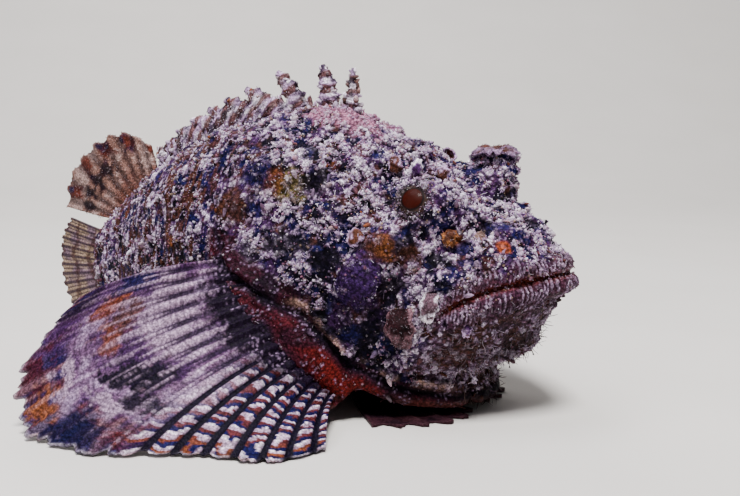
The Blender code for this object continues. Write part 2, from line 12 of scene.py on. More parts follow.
import bmesh
import bpy
import numpy as np
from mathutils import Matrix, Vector


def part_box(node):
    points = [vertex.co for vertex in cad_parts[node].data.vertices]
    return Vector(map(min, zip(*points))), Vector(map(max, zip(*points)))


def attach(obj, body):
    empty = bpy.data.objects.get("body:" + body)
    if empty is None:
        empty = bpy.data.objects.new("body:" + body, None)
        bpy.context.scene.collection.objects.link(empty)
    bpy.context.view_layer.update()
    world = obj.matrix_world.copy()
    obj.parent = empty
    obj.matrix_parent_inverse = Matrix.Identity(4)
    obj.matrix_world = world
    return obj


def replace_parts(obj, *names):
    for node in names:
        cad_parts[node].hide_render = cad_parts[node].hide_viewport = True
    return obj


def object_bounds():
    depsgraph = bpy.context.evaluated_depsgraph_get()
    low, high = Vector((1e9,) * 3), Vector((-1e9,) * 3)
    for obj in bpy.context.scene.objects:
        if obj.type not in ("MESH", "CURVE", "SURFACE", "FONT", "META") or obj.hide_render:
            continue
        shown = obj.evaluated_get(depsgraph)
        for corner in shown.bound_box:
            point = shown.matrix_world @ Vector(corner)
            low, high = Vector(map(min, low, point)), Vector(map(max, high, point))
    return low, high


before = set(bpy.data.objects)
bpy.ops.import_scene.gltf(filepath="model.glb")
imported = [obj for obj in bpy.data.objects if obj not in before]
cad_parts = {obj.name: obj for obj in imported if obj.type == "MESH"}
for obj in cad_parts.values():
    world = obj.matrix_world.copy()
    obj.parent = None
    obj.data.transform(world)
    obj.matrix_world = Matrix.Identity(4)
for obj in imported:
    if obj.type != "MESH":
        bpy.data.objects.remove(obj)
solid_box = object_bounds()

MM = 0.001
SEED = 11

# The fish was measured straight and then bent: its tail swings left on one arc, its head turns right
# on another, and the whole is moved so that its box is centred.
TAIL_START, TAIL_RADIUS = 10, 426
HEAD_START, HEAD_RADIUS, HEAD_STRETCH = 40, 400, 1.02
MOVED = np.array((1.23, 0.09, 0.0))

FLESH = ("head", "lower_jaw", "gill_cover_left", "gill_cover_right", "torso", "tail")
SKIN_VOXEL = 0.64
SEAM_FILL = 0.5
SKIN_SMOOTHING = 26
CAVITY_SMOOTHING = 8
COAT_DEPTH = 0.9
FLOOR_GAP = 0.15

# Linear colours.
DARK = (0.006, 0.004, 0.012)
DEEP_BLUE = (0.008, 0.008, 0.060)
PLUM = (0.060, 0.020, 0.085)
MAROON = (0.060, 0.008, 0.014)
RED = (0.10, 0.008, 0.007)
BROWN = (0.085, 0.030, 0.018)
ORANGE = (0.26, 0.075, 0.018)
RUST = (0.075, 0.026, 0.018)
OLIVE = (0.19, 0.15, 0.035)
BEIGE = (0.42, 0.29, 0.20)
PINK = (0.50, 0.20, 0.32)
LILAC = (0.43, 0.29, 0.48)
SHELL = (0.48, 0.33, 0.48)
FROST = (0.93, 0.83, 0.98)
BELLY = (0.24, 0.15, 0.14)


def bent(points, tail=True):
    """Places of the straight fish, where its bent body carries them."""
    x, y, z = np.moveaxis(np.asarray(points, float), -1, 0)
    head_turn = np.maximum(0, x - HEAD_START) * HEAD_STRETCH / HEAD_RADIUS
    tail_turn = np.maximum(0, TAIL_START - x) / TAIL_RADIUS if tail else np.zeros_like(x)
    ahead, behind = head_turn > 0, tail_turn > 0
    bent_x = np.where(ahead, HEAD_START + (HEAD_RADIUS + y) * np.sin(head_turn), x)
    bent_y = np.where(ahead, (HEAD_RADIUS + y) * np.cos(head_turn) - HEAD_RADIUS, y)
    bent_x = np.where(behind, TAIL_START - (TAIL_RADIUS - y) * np.sin(tail_turn), bent_x)
    bent_y = np.where(behind, TAIL_RADIUS - (TAIL_RADIUS - y) * np.cos(tail_turn), bent_y)
    return np.stack((bent_x, bent_y, z), -1) + MOVED


def straightened(points):
    """Places of the bent fish, as they would lie on the straight one."""
    x, y, z = np.moveaxis(np.asarray(points, float) - MOVED, -1, 0)
    ahead, behind = x > HEAD_START, x < TAIL_START
    head_x = HEAD_START + np.arctan2(x - HEAD_START, y + HEAD_RADIUS) * HEAD_RADIUS / HEAD_STRETCH
    head_y = np.hypot(x - HEAD_START, y + HEAD_RADIUS) - HEAD_RADIUS
    tail_x = TAIL_START - np.arctan2(TAIL_START - x, TAIL_RADIUS - y) * TAIL_RADIUS
    tail_y = TAIL_RADIUS - np.hypot(TAIL_START - x, TAIL_RADIUS - y)
    straight_x = np.where(ahead, head_x, np.where(behind, tail_x, x))
    straight_y = np.where(ahead, head_y, np.where(behind, tail_y, y))
    return np.stack((straight_x, straight_y, z), -1)


def lattice(cells, seed):
    """A number from 0 to 1 for each whole-numbered cell, always the same for the same cell."""
    mixed = cells[..., 0] * 73856093 ^ cells[..., 1] * 19349663 ^ cells[..., 2] * 83492791 ^ seed * 2654435761
    mixed = (mixed ^ (mixed >> 13)) * 1274126177 & 0x7FFFFFFF
    return ((mixed ^ (mixed >> 16)) & 0xFFFFF) / 0xFFFFF


def cloud(points, size, seed):
    """Smooth noise from -1 to 1, with swells about as wide as size."""
    spots = points / size
    cells = np.floor(spots).astype(np.int64)
    part = spots - cells
    part = part * part * (3 - 2 * part)
    total = np.zeros(len(points))
    for corner in itertools.product((0, 1), repeat=3):
        weight = np.prod(np.where(corner, part, 1 - part), axis=1)
        total += weight * lattice(cells + np.array(corner), seed)
    return 2 * total - 1


def beads(points, size, seed):
    """Round bumps from 0 between them to 1 on their tops, about as wide as size."""
    spots = points / size
    cells = np.floor(spots).astype(np.int64)
    nearest = np.full(len(points), 9.0)
    for neighbour in itertools.product((-1, 0, 1), repeat=3):
        cell = cells + np.array(neighbour)
        middle = cell + np.stack([lattice(cell, seed + k) for k in range(3)], axis=1)
        nearest = np.minimum(nearest, np.linalg.norm(spots - middle, axis=1))
    return np.clip(1 - nearest / 0.75, 0, 1)


def step(low, high, value):
    """Rises smoothly from 0 at low to 1 at high."""
    share = np.clip((value - low) / (high - low), 0, 1)
    return share * share * (3 - 2 * share)


def hill(offset, width):
    """1 where the offset is 0, falling smoothly to nothing on both sides."""
    return np.exp(-((offset / width) ** 2))


def wave(turns):
    """Waves between 0 and 1, highest at whole numbers."""
    return 0.5 + 0.5 * np.cos(2 * np.pi * turns)


def unit(vectors):
    """Vectors made one long."""
    return vectors / np.maximum(1e-9, np.linalg.norm(vectors, axis=-1, keepdims=True))


def blend(colours, *layers):
    """One colour, or one for each place, painted over with layers that each have a colour and a share."""
    for colour, share in layers:
        share = np.clip(share, 0, 1)[:, None]
        colours = np.asarray(colours) * (1 - share) + np.asarray(colour) * share
    return colours


def along(line, shares):
    """Places at shares of the way along a line of places, rounded at its corners, straight past its ends."""
    line = np.asarray(line, float)
    slopes = np.gradient(line, axis=0)
    at = np.atleast_1d(shares) * (len(line) - 1)
    i = np.clip(np.floor(at).astype(int), 0, len(line) - 2)
    u = np.clip(at - i, 0, 1)[:, None]
    inside = (
        (2 * u**3 - 3 * u**2 + 1) * line[i]
        + (u**3 - 2 * u**2 + u) * slopes[i]
        + (3 * u**2 - 2 * u**3) * line[i + 1]
        + (u**3 - u**2) * slopes[i + 1]
    )
    before = np.minimum(0, at)[:, None] * (line[1] - line[0])
    after = np.maximum(0, at - (len(line) - 1))[:, None] * (line[-1] - line[-2])
    return inside + before + after


def add_object(name, data):
    """Adds an object to the scene."""
    made = bpy.data.objects.new(name, data)
    bpy.context.scene.collection.objects.link(made)
    return made


def new_piece(name, points, faces, colours, material, slot, uv=None):
    """A mesh piece that rides on the body, with a colour at each point."""
    mesh = bpy.data.meshes.new(name)
    mesh.vertices.add(len(points))
    mesh.vertices.foreach_set("co", np.clip(np.asarray(points) * MM, *solid_box).ravel())
    mesh.loops.add(faces.size)
    mesh.loops.foreach_set("vertex_index", faces.ravel())
    mesh.polygons.add(len(faces))
    mesh.polygons.foreach_set("loop_start", np.arange(len(faces)) * faces.shape[1])
    mesh.update(calc_edges=True)
    mesh.shade_smooth()
    layer = mesh.color_attributes.new("colour", "FLOAT_COLOR", "POINT")
    layer.data.foreach_set("color", np.insert(np.clip(colours, 0, 1), 3, 1, axis=1).ravel())
    if uv is not None:
        layer = mesh.uv_layers.new(name="OFBake")
        layer.data.foreach_set("uv", uv[faces.ravel()].ravel())
    mesh.materials.append(material)
    piece = add_object(name, mesh)
    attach(piece, "root")
    return piece


def wire(node, inputs):
    """Sets a node's inputs to values, or links them to other nodes' outputs."""
    for name, value in inputs.items():
        if isinstance(value, bpy.types.NodeSocket):
            node.id_data.links.new(value, node.inputs[name])
        else:
            node.inputs[name].default_value = value


def add_node(tree, kind, inputs, output=0, **settings):
    """Adds a shader node and gives one of its outputs."""
    node = tree.nodes.new("ShaderNode" + kind)
    for name, value in settings.items():
        setattr(node, name, value)
    wire(node, inputs)
    return node.outputs[output]


def ranged(tree, value, from_low, from_high, to_low, to_high):
    """A value carried from one range to another."""
    limits = {"From Min": from_low, "From Max": from_high, "To Min": to_low, "To Max": to_high}
    return add_node(tree, "MapRange", {"Value": value, **limits})


def scaled(tree, colour, amount):
    """A colour made lighter or darker."""
    return add_node(tree, "VectorMath", {0: colour, "Scale": amount}, operation="SCALE")


def painted_material(name, grain, detail):
    """A material with the painted colour, the place on the piece and noise of a grain, to be wired up."""
    made = bpy.data.materials.new(name)
    made.use_nodes = True
    tree = made.node_tree
    painted = add_node(tree, "Attribute", {}, attribute_name="colour")
    place = add_node(tree, "TexCoord", {}, "Object")
    noise = add_node(tree, "TexNoise", {"Scale": 1 / (grain * MM), "Detail": detail, "Vector": place})
    return made, tree, painted, place, noise


# Finishes: roughness, size of the speckles, how far they lighten and darken, height of the relief, size
# of the granules, how far painted light brightens their tops and painted shade darkens the gaps between
# them, and how much light passes in.
FINISHES = {
    "skin": (0.5, 0.45, 0.6, 0.4, 1.1, 0.7, 0.0),
    "coat": (0.5, 0.35, 0.4, 0.1, 0.9, 0.3, 0.05),
    "fringe": (0.5, 0.35, 0.3, 0.1, 0.9, 0.3, 0.05),
    "flap": (0.5, 0.4, 0.5, 0.3, 0.9, 0.5, 0.1),
    "fin": (0.45, 0.5, 0.45, 0.35, 0.9, 0.5, 0.05),
    "spine": (0.55, 0.5, 0.5, 0.3, 0.9, 0.5, 0.05),
    "lobe": (0.55, 0.5, 0.5, 0.2, 0.9, 0.4, 0.05),
}


def surface_material(name, finish):
    """The painted colours, broken up by fine speckles and round granules with painted light on their tops and
    painted shade between them, with a fine relief.
    """
    roughness, grain, speckle, relief, granule, pits, weight = FINISHES[finish]
    made, tree, painted, place, noise = painted_material(name, grain, 4)
    cells = add_node(tree, "TexVoronoi", {"Scale": 1 / (granule * MM), "Vector": place})
    speckled = scaled(tree, painted, ranged(tree, noise, 0.3, 0.7, 1 - speckle, 1 + speckle))
    height = add_node(tree, "Math", {0: noise, 1: ranged(tree, cells, 0.1, 0.8, pits, 0)}, operation="ADD")
    inputs = {
        # Granule tops lightened and the gaps between them darkened: painted light and shade on the granules.
        "Base Color": scaled(tree, speckled, ranged(tree, cells, 0.25, 0.75, 1 + 0.35 * pits, 1 - pits)),
        "Roughness": ranged(tree, noise, 0, 1, roughness - 0.12, roughness + 0.12),
        "Normal": add_node(tree, "Bump", {"Strength": 0.7, "Distance": relief * MM, "Height": height}),
        "Specular IOR Level": 0.04,
        "Subsurface Weight": weight,
        "Subsurface Radius": (0.0012, 0.0006, 0.0005),
        "Subsurface Scale": 1.0,
    }
    wire(tree.nodes["Principled BSDF"], inputs)
    return made


def eye_material():
    """The painted colours, a little mottled, under a clear wet surface."""
    made, tree, painted, _, noise = painted_material("eye", 1 / 0.9, 3)
    inputs = {
        "Base Color": scaled(tree, painted, ranged(tree, noise, 0, 1, 0.7, 1.3)),
        "Roughness": 0.5,
        "Specular IOR Level": 0.05,
        "Coat Weight": 0.03,
        "Coat Roughness": 0.08,
    }
    wire(tree.nodes["Principled BSDF"], inputs)
    return made


# The mouth from the tip of the snout back, and the gill cover's edge, as x and z of the straight fish.
MOUTH = [(135, 57), (119, 54.5), (113, 53), (105, 50.7), (97, 47.3), (90, 43.2), (83, 38), (76, 32), (73, 27)]
GILL = [
    (-2, 72), (2, 63), (8, 55), (21, 48.5), (37, 41.5), (47, 31.5), (57, 22.5), (70, 15.5), (82, 12), (94, 8),
]  # fmt: skip
# The comb of the lips runs round a place behind them.
COMB_PLACE, COMB_RADIUS, COMB_PITCH = 60, 52, 1.4


def line_distance(x, z, line):
    """Distance to a line in x and z, more than 0 above it and less below."""
    best = np.full(len(x), 1e9)
    sign = np.ones(len(x))
    for (ax, az), (bx, bz) in zip(line, line[1:]):
        dx, dz = bx - ax, bz - az
        share = np.clip(((x - ax) * dx + (z - az) * dz) / (dx * dx + dz * dz), 0, 1)
        away = np.hypot(x - ax - share * dx, z - az - share * dz)
        side = ((z - az) * dx - (x - ax) * dz) * math.copysign(1, dx)
        nearer = away < best
        best = np.where(nearer, away, best)
        sign = np.where(nearer, np.sign(side), sign)
    return best * sign


# Marks of colour and relief: where, how wide, the colour, how strong, how far it rises, how rough.
Mark = namedtuple("Mark", "place radius colour strength rise coat")
MARKS = [
    Mark((32, 0, 108), 16, PINK, 0.8, 0, 0.7),
    Mark((47, -10, 107), 9, PINK, 0.6, 0, 0.8),
    Mark((29, -40, 83), 8, OLIVE, 0.8, 0.4, 0.6),
    Mark((21, -40, 86), 6, ORANGE, 0.6, 0.4, 0.6),
    Mark((44, -34, 93), 4.5, ORANGE, 0.7, 0, 0.4),
    Mark((38, -37, 87), 6, DARK, 0.95, -1.8, 0.1),
    Mark((27, -46, 66), 8, DARK, 0.95, -1.4, 0.15),
    Mark((36, -45, 68), 6, DARK, 0.9, -1.2, 0.2),
    Mark((14, -45, 60), 6, DARK, 0.85, -0.8, 0.2),
    Mark((45, -44, 60), 6.5, DARK, 0.95, -1.6, 0.1),
    Mark((84, -35, 60), 5, DARK, 0.95, -1.4, 0.15),
    Mark((5, -38, 77), 9, BROWN, 0.9, -0.8, 0.2),
    Mark((12, -38, 90), 8, DEEP_BLUE, 0.8, -0.6, 0.3),
    Mark((-12, -38, 88), 7, DEEP_BLUE, 0.7, -0.6, 0.5),
    Mark((-24, -36, 94), 6, BROWN, 0.7, -0.4, 0.5),
    Mark((66, -42, 64), 6.5, (0.20, 0.065, 0.02), 0.9, 0, 0.25),
    Mark((60, -43, 67), 4.5, BROWN, 0.9, 0.3, 0.2),
    Mark((74, -36, 80), 7, (0.12, 0.11, 0.08), 0.5, 0, 0.7),
    Mark((75, -40, 61), 5, BROWN, 0.9, 0, 0.2),
    Mark((88, -30, 68), 3.2, ORANGE, 0.95, 0.5, 0.1),
    Mark((103.4, -23.6, 64), 3.2, (0.42, 0.075, 0.015), 0.95, 0.5, 0.05),
    Mark((57, -44, 52), 10, (0.040, 0.014, 0.080), 0.95, 1.7, 0.05),
    Mark((69, -41, 51), 5.5, DARK, 0.95, -1.2, 0.1),
    Mark((73, -38, 36), 7.5, (0.07, 0.04, 0.04), 0.9, 0, 0.25),
    Mark((62, -42, 33), 6.5, DARK, 0.9, -1.0, 0.15),
    Mark((50, -44, 40), 6, PLUM, 0.8, -0.3, 0.3),
    Mark((88, -26, 28), 10, BROWN, 0.8, -0.3, 0.35),
    Mark((102, -14, 30), 9, DARK, 0.6, -0.3, 0.4),
    Mark((-50, -30, 80), 7, FROST, 0.6, 0.3, 0.8),
    Mark((-30, -36, 62), 7, ORANGE, 0.4, 0, 0.7),
    Mark((-70, -20, 66), 9, BROWN, 0.5, 0, 0.6),
]
FULLY_WARPED = 9


def mark_share(flat, warped, mark):
    """1 at a mark on either side, falling to nothing past its radius; larger marks are more warped."""
    spots = flat + (warped - flat) * min(1, mark.radius / FULLY_WARPED)
    centre = straightened(np.asarray(mark.place, float) + MOVED)
    away = np.stack((spots[:, 0] - centre[0], np.abs(spots[:, 1]) - abs(centre[1]), spots[:, 2] - centre[2]))
    return np.exp(-((np.linalg.norm(away, axis=0) / mark.radius) ** 2) * 1.2)


# The fins as lines of ray roots and ray tips; paired fins are given for the left side.
Fin = namedtuple("Fin", "roots tips lift outward incised rays membrane root_ridge tip_ridge")
PECTORAL = Fin(
    [(5, 45, 57), (17, 47, 46), (28, 47.5, 33), (38, 45.5, 20), (47, 40, 9)],
    [
        (-43, 70, 43), (-51, 78, 32), (-56, 88, 18), (-50, 97, 6), (-37, 103, 0), (-14, 106, 0),
        (4, 100, 0), (20, 93, 0), (37, 91, 0), (52, 85, 0), (61, 70, 0),
    ],
    7, 5, 0.02, 17, 0.35, 1.6, 1.0,
)  # fmt: skip
PELVIC = Fin(
    [(53, 8, 5.6), (48, 13, 4.8), (43, 19, 4.6)],
    [(90, 7, 0), (92, 17, 0), (86, 28, 0), (77, 36, 0), (64, 41, 0)],
    -1.8, 0, 0.1, 6, 0.35, 1.2, 0.7,
)  # fmt: skip
TAIL_FIN = Fin(
    [(-93, 0, 54), (-94, 0, 40), (-93, 0, 27)],
    [(-122, 0, 59), (-130, 0, 50), (-132.5, 0, 38), (-130, 0, 25), (-121, 0, 13)],
    0, 0, 0.05, 12, 0.3, 1.0, 0.5,
)  # fmt: skip
SOFT_DORSAL = Fin(
    [(-60, 0, 82), (-75, 0, 71), (-89, 0, 61)],
    [(-64, 0, 95), (-77, 0, 100), (-92, 0, 98), (-108, 0, 90), (-121, 0, 78), (-124, 0, 64)],
    0, 0, 0.05, 9, 0.6, 1.4, 0.9,
)  # fmt: skip
ANAL = Fin(
    [(-42, 0, 6.5), (-56, 0, 10.5), (-71, 0, 17)],
    [(-52, 0, 1.5), (-66, 0, 1.5), (-81, 0, 3), (-92, 0, 13)],
    0, 0, 0.08, 8, 0.35, 1.0, 0.6,
)  # fmt: skip

# The line of the back under the spines, as x and z, and the low wall of skin along it.
BACK = [(-58, 85), (-35, 97), (-12, 105), (10, 109), (32, 108), (52, 102)]
WALL_START, WALL_END, WALL_HEIGHT = 39, -55, 6
SPINES = [
    (34, 36, 127), (26, 23, 128.5), (15, 3, 126), (4, -12, 119), (-5, -22, 114.5), (-13, -31, 110.5),
    (-21, -40, 106), (-29, -48, 101), (-36, -54, 96), (-42, -57, 93), (-48, -59, 91), (-53, -59, 94),
]  # fmt: skip
SPINE_BREADTHS = [0.6, 1.0, 1.0, 1.2, 1.2, 1.15, 1.1, 1.1, 1.05, 1.0, 0.9, 0.8]
SPINE_PROFILE = [2.8, 3.6, 4.2, 3.6, 2.7, 0.9]
SPINE_SIDES, SPINE_RINGS = 14, 34
WEB_COLUMNS, WEB_ROWS = 200, 10


def back_height(x):
    """Height of the back's line at x."""
    xs, zs = zip(*BACK)
    return np.interp(x, xs, zs)


def fan(fin, share, reach):
    """A place on a fin: share across its rays, reach from root to tip, notched between rays at its edge."""
    share, reach = np.broadcast_arrays(share, reach)
    shape = share.shape
    share, reach = share.ravel(), reach.ravel()[:, None]
    root, tip = along(fin.roots, share), along(fin.tips, share)
    bend = (root + tip) / 2 + (0, fin.outward, fin.lift)
    between = 1 - wave(share * (fin.rays - 1))[:, None]
    t = reach * (1 - fin.incised * between * np.maximum(0, reach) ** 3)
    curve = (1 - t) ** 2 * root + 2 * t * (1 - t) * bend + t * t * tip
    return np.where(t > 0, curve, root + 2 * t * (bend - root)).reshape(*shape, 3)


def spine_wall(share, reach):
    """A place on the low wall that the spines stand in."""
    share, reach = np.broadcast_arrays(share, reach)
    x = WALL_START + (WALL_END - WALL_START) * share
    return np.stack((x, np.zeros_like(x), back_height(x) + 1.5 + WALL_HEIGHT * reach), -1)


def slab(surface, shares, reaches, half):
    """Both faces and the rim of a thin solid round a surface, as points and triangles."""
    shares, reaches = np.asarray(shares)[:, None], np.asarray(reaches)[None, :]
    middle = surface(shares, reaches)
    normals = unit(np.cross(np.gradient(middle, axis=0), np.gradient(middle, axis=1)))
    thickness = half(shares, reaches) + np.zeros(middle.shape[:2])
    middle[:, :, 2] = np.maximum(middle[:, :, 2], thickness * 1.02)
    offset = normals * thickness[:, :, None]
    points = np.concatenate([(middle + sign * offset).reshape(-1, 3) for sign in (1, -1)])
    columns, rows = middle.shape[:2]
    count = columns * rows
    index = np.arange(count).reshape(columns, rows)
    a, b, c, d = (grid.ravel() for grid in (index[:-1, :-1], index[1:, :-1], index[1:, 1:], index[:-1, 1:]))
    top = np.concatenate((np.stack((a, b, c), 1), np.stack((a, c, d), 1)))
    border = np.concatenate((index[:, 0], index[-1, 1:], index[-2::-1, -1], index[0, -2:0:-1]))
    following = np.roll(border, -1)
    outer = np.stack((border, border + count, following + count), 1)
    inner = np.stack((border, following + count, following), 1)
    return points, np.concatenate((top, top[:, ::-1] + count, outer, inner))


# The slots that fins and spines leave in the flesh: surface, first and last reach, half width,
# whether on the right side, and whether the tail's bend carries it.
SLOTS = [
    (partial(fan, PECTORAL), -0.07, 0.08, 2.0, False, False),
    (partial(fan, PECTORAL), -0.07, 0.08, 2.0, True, False),
    (partial(fan, PELVIC), -0.13, 0.06, 1.9, False, True),
    (partial(fan, PELVIC), -0.13, 0.06, 1.9, True, True),
    (partial(fan, TAIL_FIN), -0.13, 0.1, 1.7, False, True),
    (partial(fan, SOFT_DORSAL), -0.18, 0.12, 1.7, False, True),
    (partial(fan, ANAL), -0.33, 0.1, 1.6, False, True),
    (spine_wall, -1.2, 0.3, 2.4, False, True),
]
SLOT_COLUMNS, SLOT_ROWS = 24, 5


def fill_slot(shape, surface, first, last, half, mirror, tail):
    """Adds to the flesh what fills the slot of a fin or of the spines."""
    shares, reaches = np.linspace(-0.05, 1.05, SLOT_COLUMNS), np.linspace(first, last, SLOT_ROWS)
    points, faces = slab(surface, shares, reaches, lambda share, reach: half)
    points[:, 1] *= -1 if mirror else 1
    corners = [shape.verts.new(Vector(point) * MM) for point in bent(points, tail)]
    made = [shape.faces.new([corners[i] for i in face]) for face in faces]
    bmesh.ops.recalc_face_normals(shape, faces=made)


def flesh_mesh():
    """One closed skin grown from the flesh nodes, with their seams and the fins' slots filled."""
    shape = bmesh.new()
    for node in FLESH:
        shape.from_mesh(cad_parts[node].data)
    bmesh.ops.remove_doubles(shape, verts=shape.verts, dist=1e-7)
    shape.normal_update()
    for vertex in shape.verts:
        vertex.co += vertex.normal * SEAM_FILL * MM
    for node in ("eye_left", "eye_right"):
        shape.from_mesh(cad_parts[node].data)
    for slot in SLOTS:
        fill_slot(shape, *slot)
    mesh = bpy.data.meshes.new("skin")
    shape.to_mesh(mesh)
    shape.free()
    solid = add_object("skin", mesh)
    remesh = solid.modifiers.new("grow together", "REMESH")
    remesh.mode = "VOXEL"
    remesh.voxel_size = SKIN_VOXEL * MM
    made = bpy.data.meshes.new_from_object(solid.evaluated_get(bpy.context.evaluated_depsgraph_get()))
    bpy.data.objects.remove(solid)
    points = np.empty(3 * len(made.vertices))
    made.vertices.foreach_get("co", points)
    corners = np.empty(len(made.loops), int)
    made.loops.foreach_get("vertex_index", corners)
    bpy.data.meshes.remove(made)
    return points.reshape(-1, 3) / MM, corners.reshape(-1, 4)


def smoothed(points, edges, rounds):
    """Points drawn evenly towards their neighbours, round after round."""
    start, end = np.concatenate((edges, edges[:, ::-1])).T
    counts = np.bincount(start, minlength=len(points))[:, None]
    for _ in range(rounds):
        total = np.stack([np.bincount(start, column[end], len(points)) for column in points.T], 1)
        points = 0.5 * points + 0.5 * total / counts
    return points


def face_edges(corners):
    """Every edge of the faces, once."""
    pairs = np.concatenate([corners[:, [k, (k + 1) % corners.shape[1]]] for k in range(corners.shape[1])])
    return np.unique(np.sort(pairs, axis=1), axis=0)


def vertex_normals(points, corners):
    """The outward direction at each point of a mesh."""
    ahead = points[corners[:, 2]] - points[corners[:, 0]]
    aside = points[corners[:, -1]] - points[corners[:, 1]]
    across = np.cross(ahead, aside)
    totals = [sum(np.bincount(corner, column, len(points)) for corner in corners.T) for column in across.T]
    return unit(np.stack(totals, 1))


def largest_part(points, corners):
    """Drops every closed surface but the largest."""
    edges = face_edges(corners)
    label = np.arange(len(points))
    while True:
        low = np.minimum(label[edges[:, 0]], label[edges[:, 1]])
        following = label.copy()
        np.minimum.at(following, edges[:, 0], low)
        np.minimum.at(following, edges[:, 1], low)
        following = following[following]
        if (following == label).all():
            break
        label = following
    kept = label == np.bincount(label).argmax()
    renumbered = np.cumsum(kept) - 1
    return points[kept], renumbered[corners[kept[corners[:, 0]]]]


# Each eye's axis, the way the pupil faces, and the opening between its lids.
EYE_RADIUS = 9.2
EYES = {
    "eye_right": unit(np.array((-0.06, -0.88, 0.47))),
    "eye_left": unit(np.array((0.08, 0.88, 0.47))),
}
LID_ANGLE = math.radians(28)
PUPIL_ANGLE = math.radians(26)
PUPIL = (0.026, 0.0028, 0.0012)
PUPIL_RIM = (0.004, 0.003, 0.004)
IRIS_LIGHT, IRIS_DARK = (0.06, 0.035, 0.030), (0.02, 0.010, 0.008)


def eye_centre(name):
    """The middle of an eye's node."""
    low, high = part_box(name)
    return (np.array(low) + np.array(high)) / (2 * MM)


def nearest_distance(points, places):
    """Distance to the nearest of some places."""
    return np.min([np.linalg.norm(points - place, axis=1) for place in places], axis=0)


def open_lids(points):
    """Draws the skin off the front of each eyeball, with a rolled lid round the opening."""
    for name, axis in EYES.items():
        away = points - eye_centre(name)
        distance = np.maximum(np.linalg.norm(away, axis=1), 1e-6)
        angle = np.arccos(np.clip(away @ axis / distance, -1, 1))
        nearby = (distance > EYE_RADIUS - 3.5) & (distance < EYE_RADIUS + 6)
        inside = step(LID_ANGLE + 0.08, LID_ANGLE - 0.08, angle)
        opened = inside * (EYE_RADIUS - 1.6) + (1 - inside) * (EYE_RADIUS + 1.2)
        rolled = np.maximum(distance, (EYE_RADIUS + 1.3) * hill(angle - LID_ANGLE - 0.2, 0.16))
        wanted = np.where(inside > 0.02, opened, rolled)
        scale = np.where(nearby, wanted / distance, 1)
        points = eye_centre(name) + away * scale[:, None]
    return points


# Where each part of the skin is: its straightened and warped places, distances above the lines of mouth
# and gill, shares of throat, lips, belly, flank and pits, how thickly the coat grows, and distances to
# the eyes' middles and to the pupils.
Parts = namedtuple("Parts", "flat warped mouth gill throat lips belly flank pits rough eye pupil")
Relief = namedtuple("Relief", "height comb rise")


def skin_parts(points, normals):
    """Finds the parts of the skin at each point."""
    flat = straightened(points)
    swirls = [3.4 * cloud(flat, 6, seed) + 2.0 * cloud(flat, 2.2, seed + 3) for seed in (11, 12, 13)]
    warped = flat + np.stack(swirls, 1)
    x, _, z = flat.T
    mouth = line_distance(x, z, MOUTH)
    gill = line_distance(x, z, GILL)
    throat = np.where((gill < 0) & (x > -8) & (z < 68), step(-8, -3, x), 0)
    cover = step(7.5, 4.5, gill + 2 * cloud(flat, 4, 15)) * (gill >= 0)
    throat = np.maximum(throat, cover * step(42, 30, x) * step(-6, 0, x) * (z < 66))
    jaw = step(-3, -8, mouth) * step(74, 82, x) * step(-2, 2, gill)
    eye = nearest_distance(points, [eye_centre(name) for name in EYES])
    pupil = nearest_distance(points, [eye_centre(name) + EYE_RADIUS * axis for name, axis in EYES.items()])
    flank = step(22, 4, x) * (1 - throat)
    belly = step(14, 4, z) * (normals[:, 2] < -0.2)
    lip_width = np.where(mouth > 0, 6.5, 8.5) * step(78, 100, x)
    lips = step(lip_width + 1.5, lip_width - 2.5, np.abs(mouth) + 2.4 * cloud(flat, 3, 16)) * step(80, 90, x)
    pits = step(0.34, 0.58, cloud(flat, 6.5, 17)) * step(5, 22, x) * (1 - lips) * (1 - throat) * (1 - jaw)
    rough = (1 - 0.5 * flank) * (1 - 0.25 * step(17, 11.5, eye)) * (1 - 0.5 * jaw) * (1 - 0.92 * throat)
    rough *= (1 - 0.95 * belly) * (1 - 0.7 * lips)
    for mark in MARKS:
        rough *= 1 - (1 - mark.coat) * np.clip(1.5 * mark_share(flat, warped, mark), 0, 1)
    rough *= 1 - 0.85 * pits
    return Parts(flat, warped, mouth, gill, throat, lips, belly, flank, pits, rough, eye, pupil)


def skin_relief(parts):
    """The warts, combed lips, folds and pits: how high each point is on its wart, and how far it rises."""
    flat, rough, lips, throat = parts.flat, parts.rough, parts.lips, parts.throat
    gill, mouth = parts.gill, parts.mouth
    x, y, z = flat.T
    warts, small, fine = beads(flat, 8.0, 5), beads(flat, 3.6, 6), beads(flat, 1.8, 3)
    scales = beads(np.stack((x, y * 0.6, z * 0.6), 1), 2.6, 7)
    small = small * (1 - parts.flank) + parts.flank * scales
    height = 0.26 * warts + 0.34 * small + 0.40 * fine
    rise = sum(mark.rise * mark_share(flat, parts.warped, mark) for mark in MARKS)
    rise += (0.3 + 0.7 * rough) * (1.3 * (warts - 0.45) + 1.1 * (small - 0.4)) + 0.6 * rough * fine
    rise += 0.6 * cloud(flat, 11, 1) - 1.1 * parts.pits
    turn = np.arctan2(y, x - COMB_PLACE)
    comb = wave(turn * COMB_RADIUS / COMB_PITCH + 0.6 * cloud(flat, 4, 4)) ** 1.5
    comb *= 0.35 + 0.65 * step(-0.4, 0.3, cloud(flat, 1.8, 8))
    rise *= (1 - 0.8 * lips) * (1 - 0.7 * throat) * (1 - 0.8 * parts.belly)
    rise += 0.9 * comb * lips * step(0.5, 1.4, np.abs(mouth))
    rise -= 1.8 * hill(mouth, 1.1) * step(86, 92, x)
    edge = step(-2, 6, x) * step(92, 84, x) * step(6, 10, np.abs(y))
    rise += edge * 1.4 * hill(gill - 1.1, 1.0) * (0.5 + step(-0.5, 0.5, cloud(flat, 3, 9)))
    rise -= edge * 2.2 * hill(gill + 1.6, 1.6)
    rise += 0.25 * throat * beads(flat, 1.6, 31)
    rise[parts.eye < EYE_RADIUS - 0.5] = 0
    return Relief(height, comb, rise)


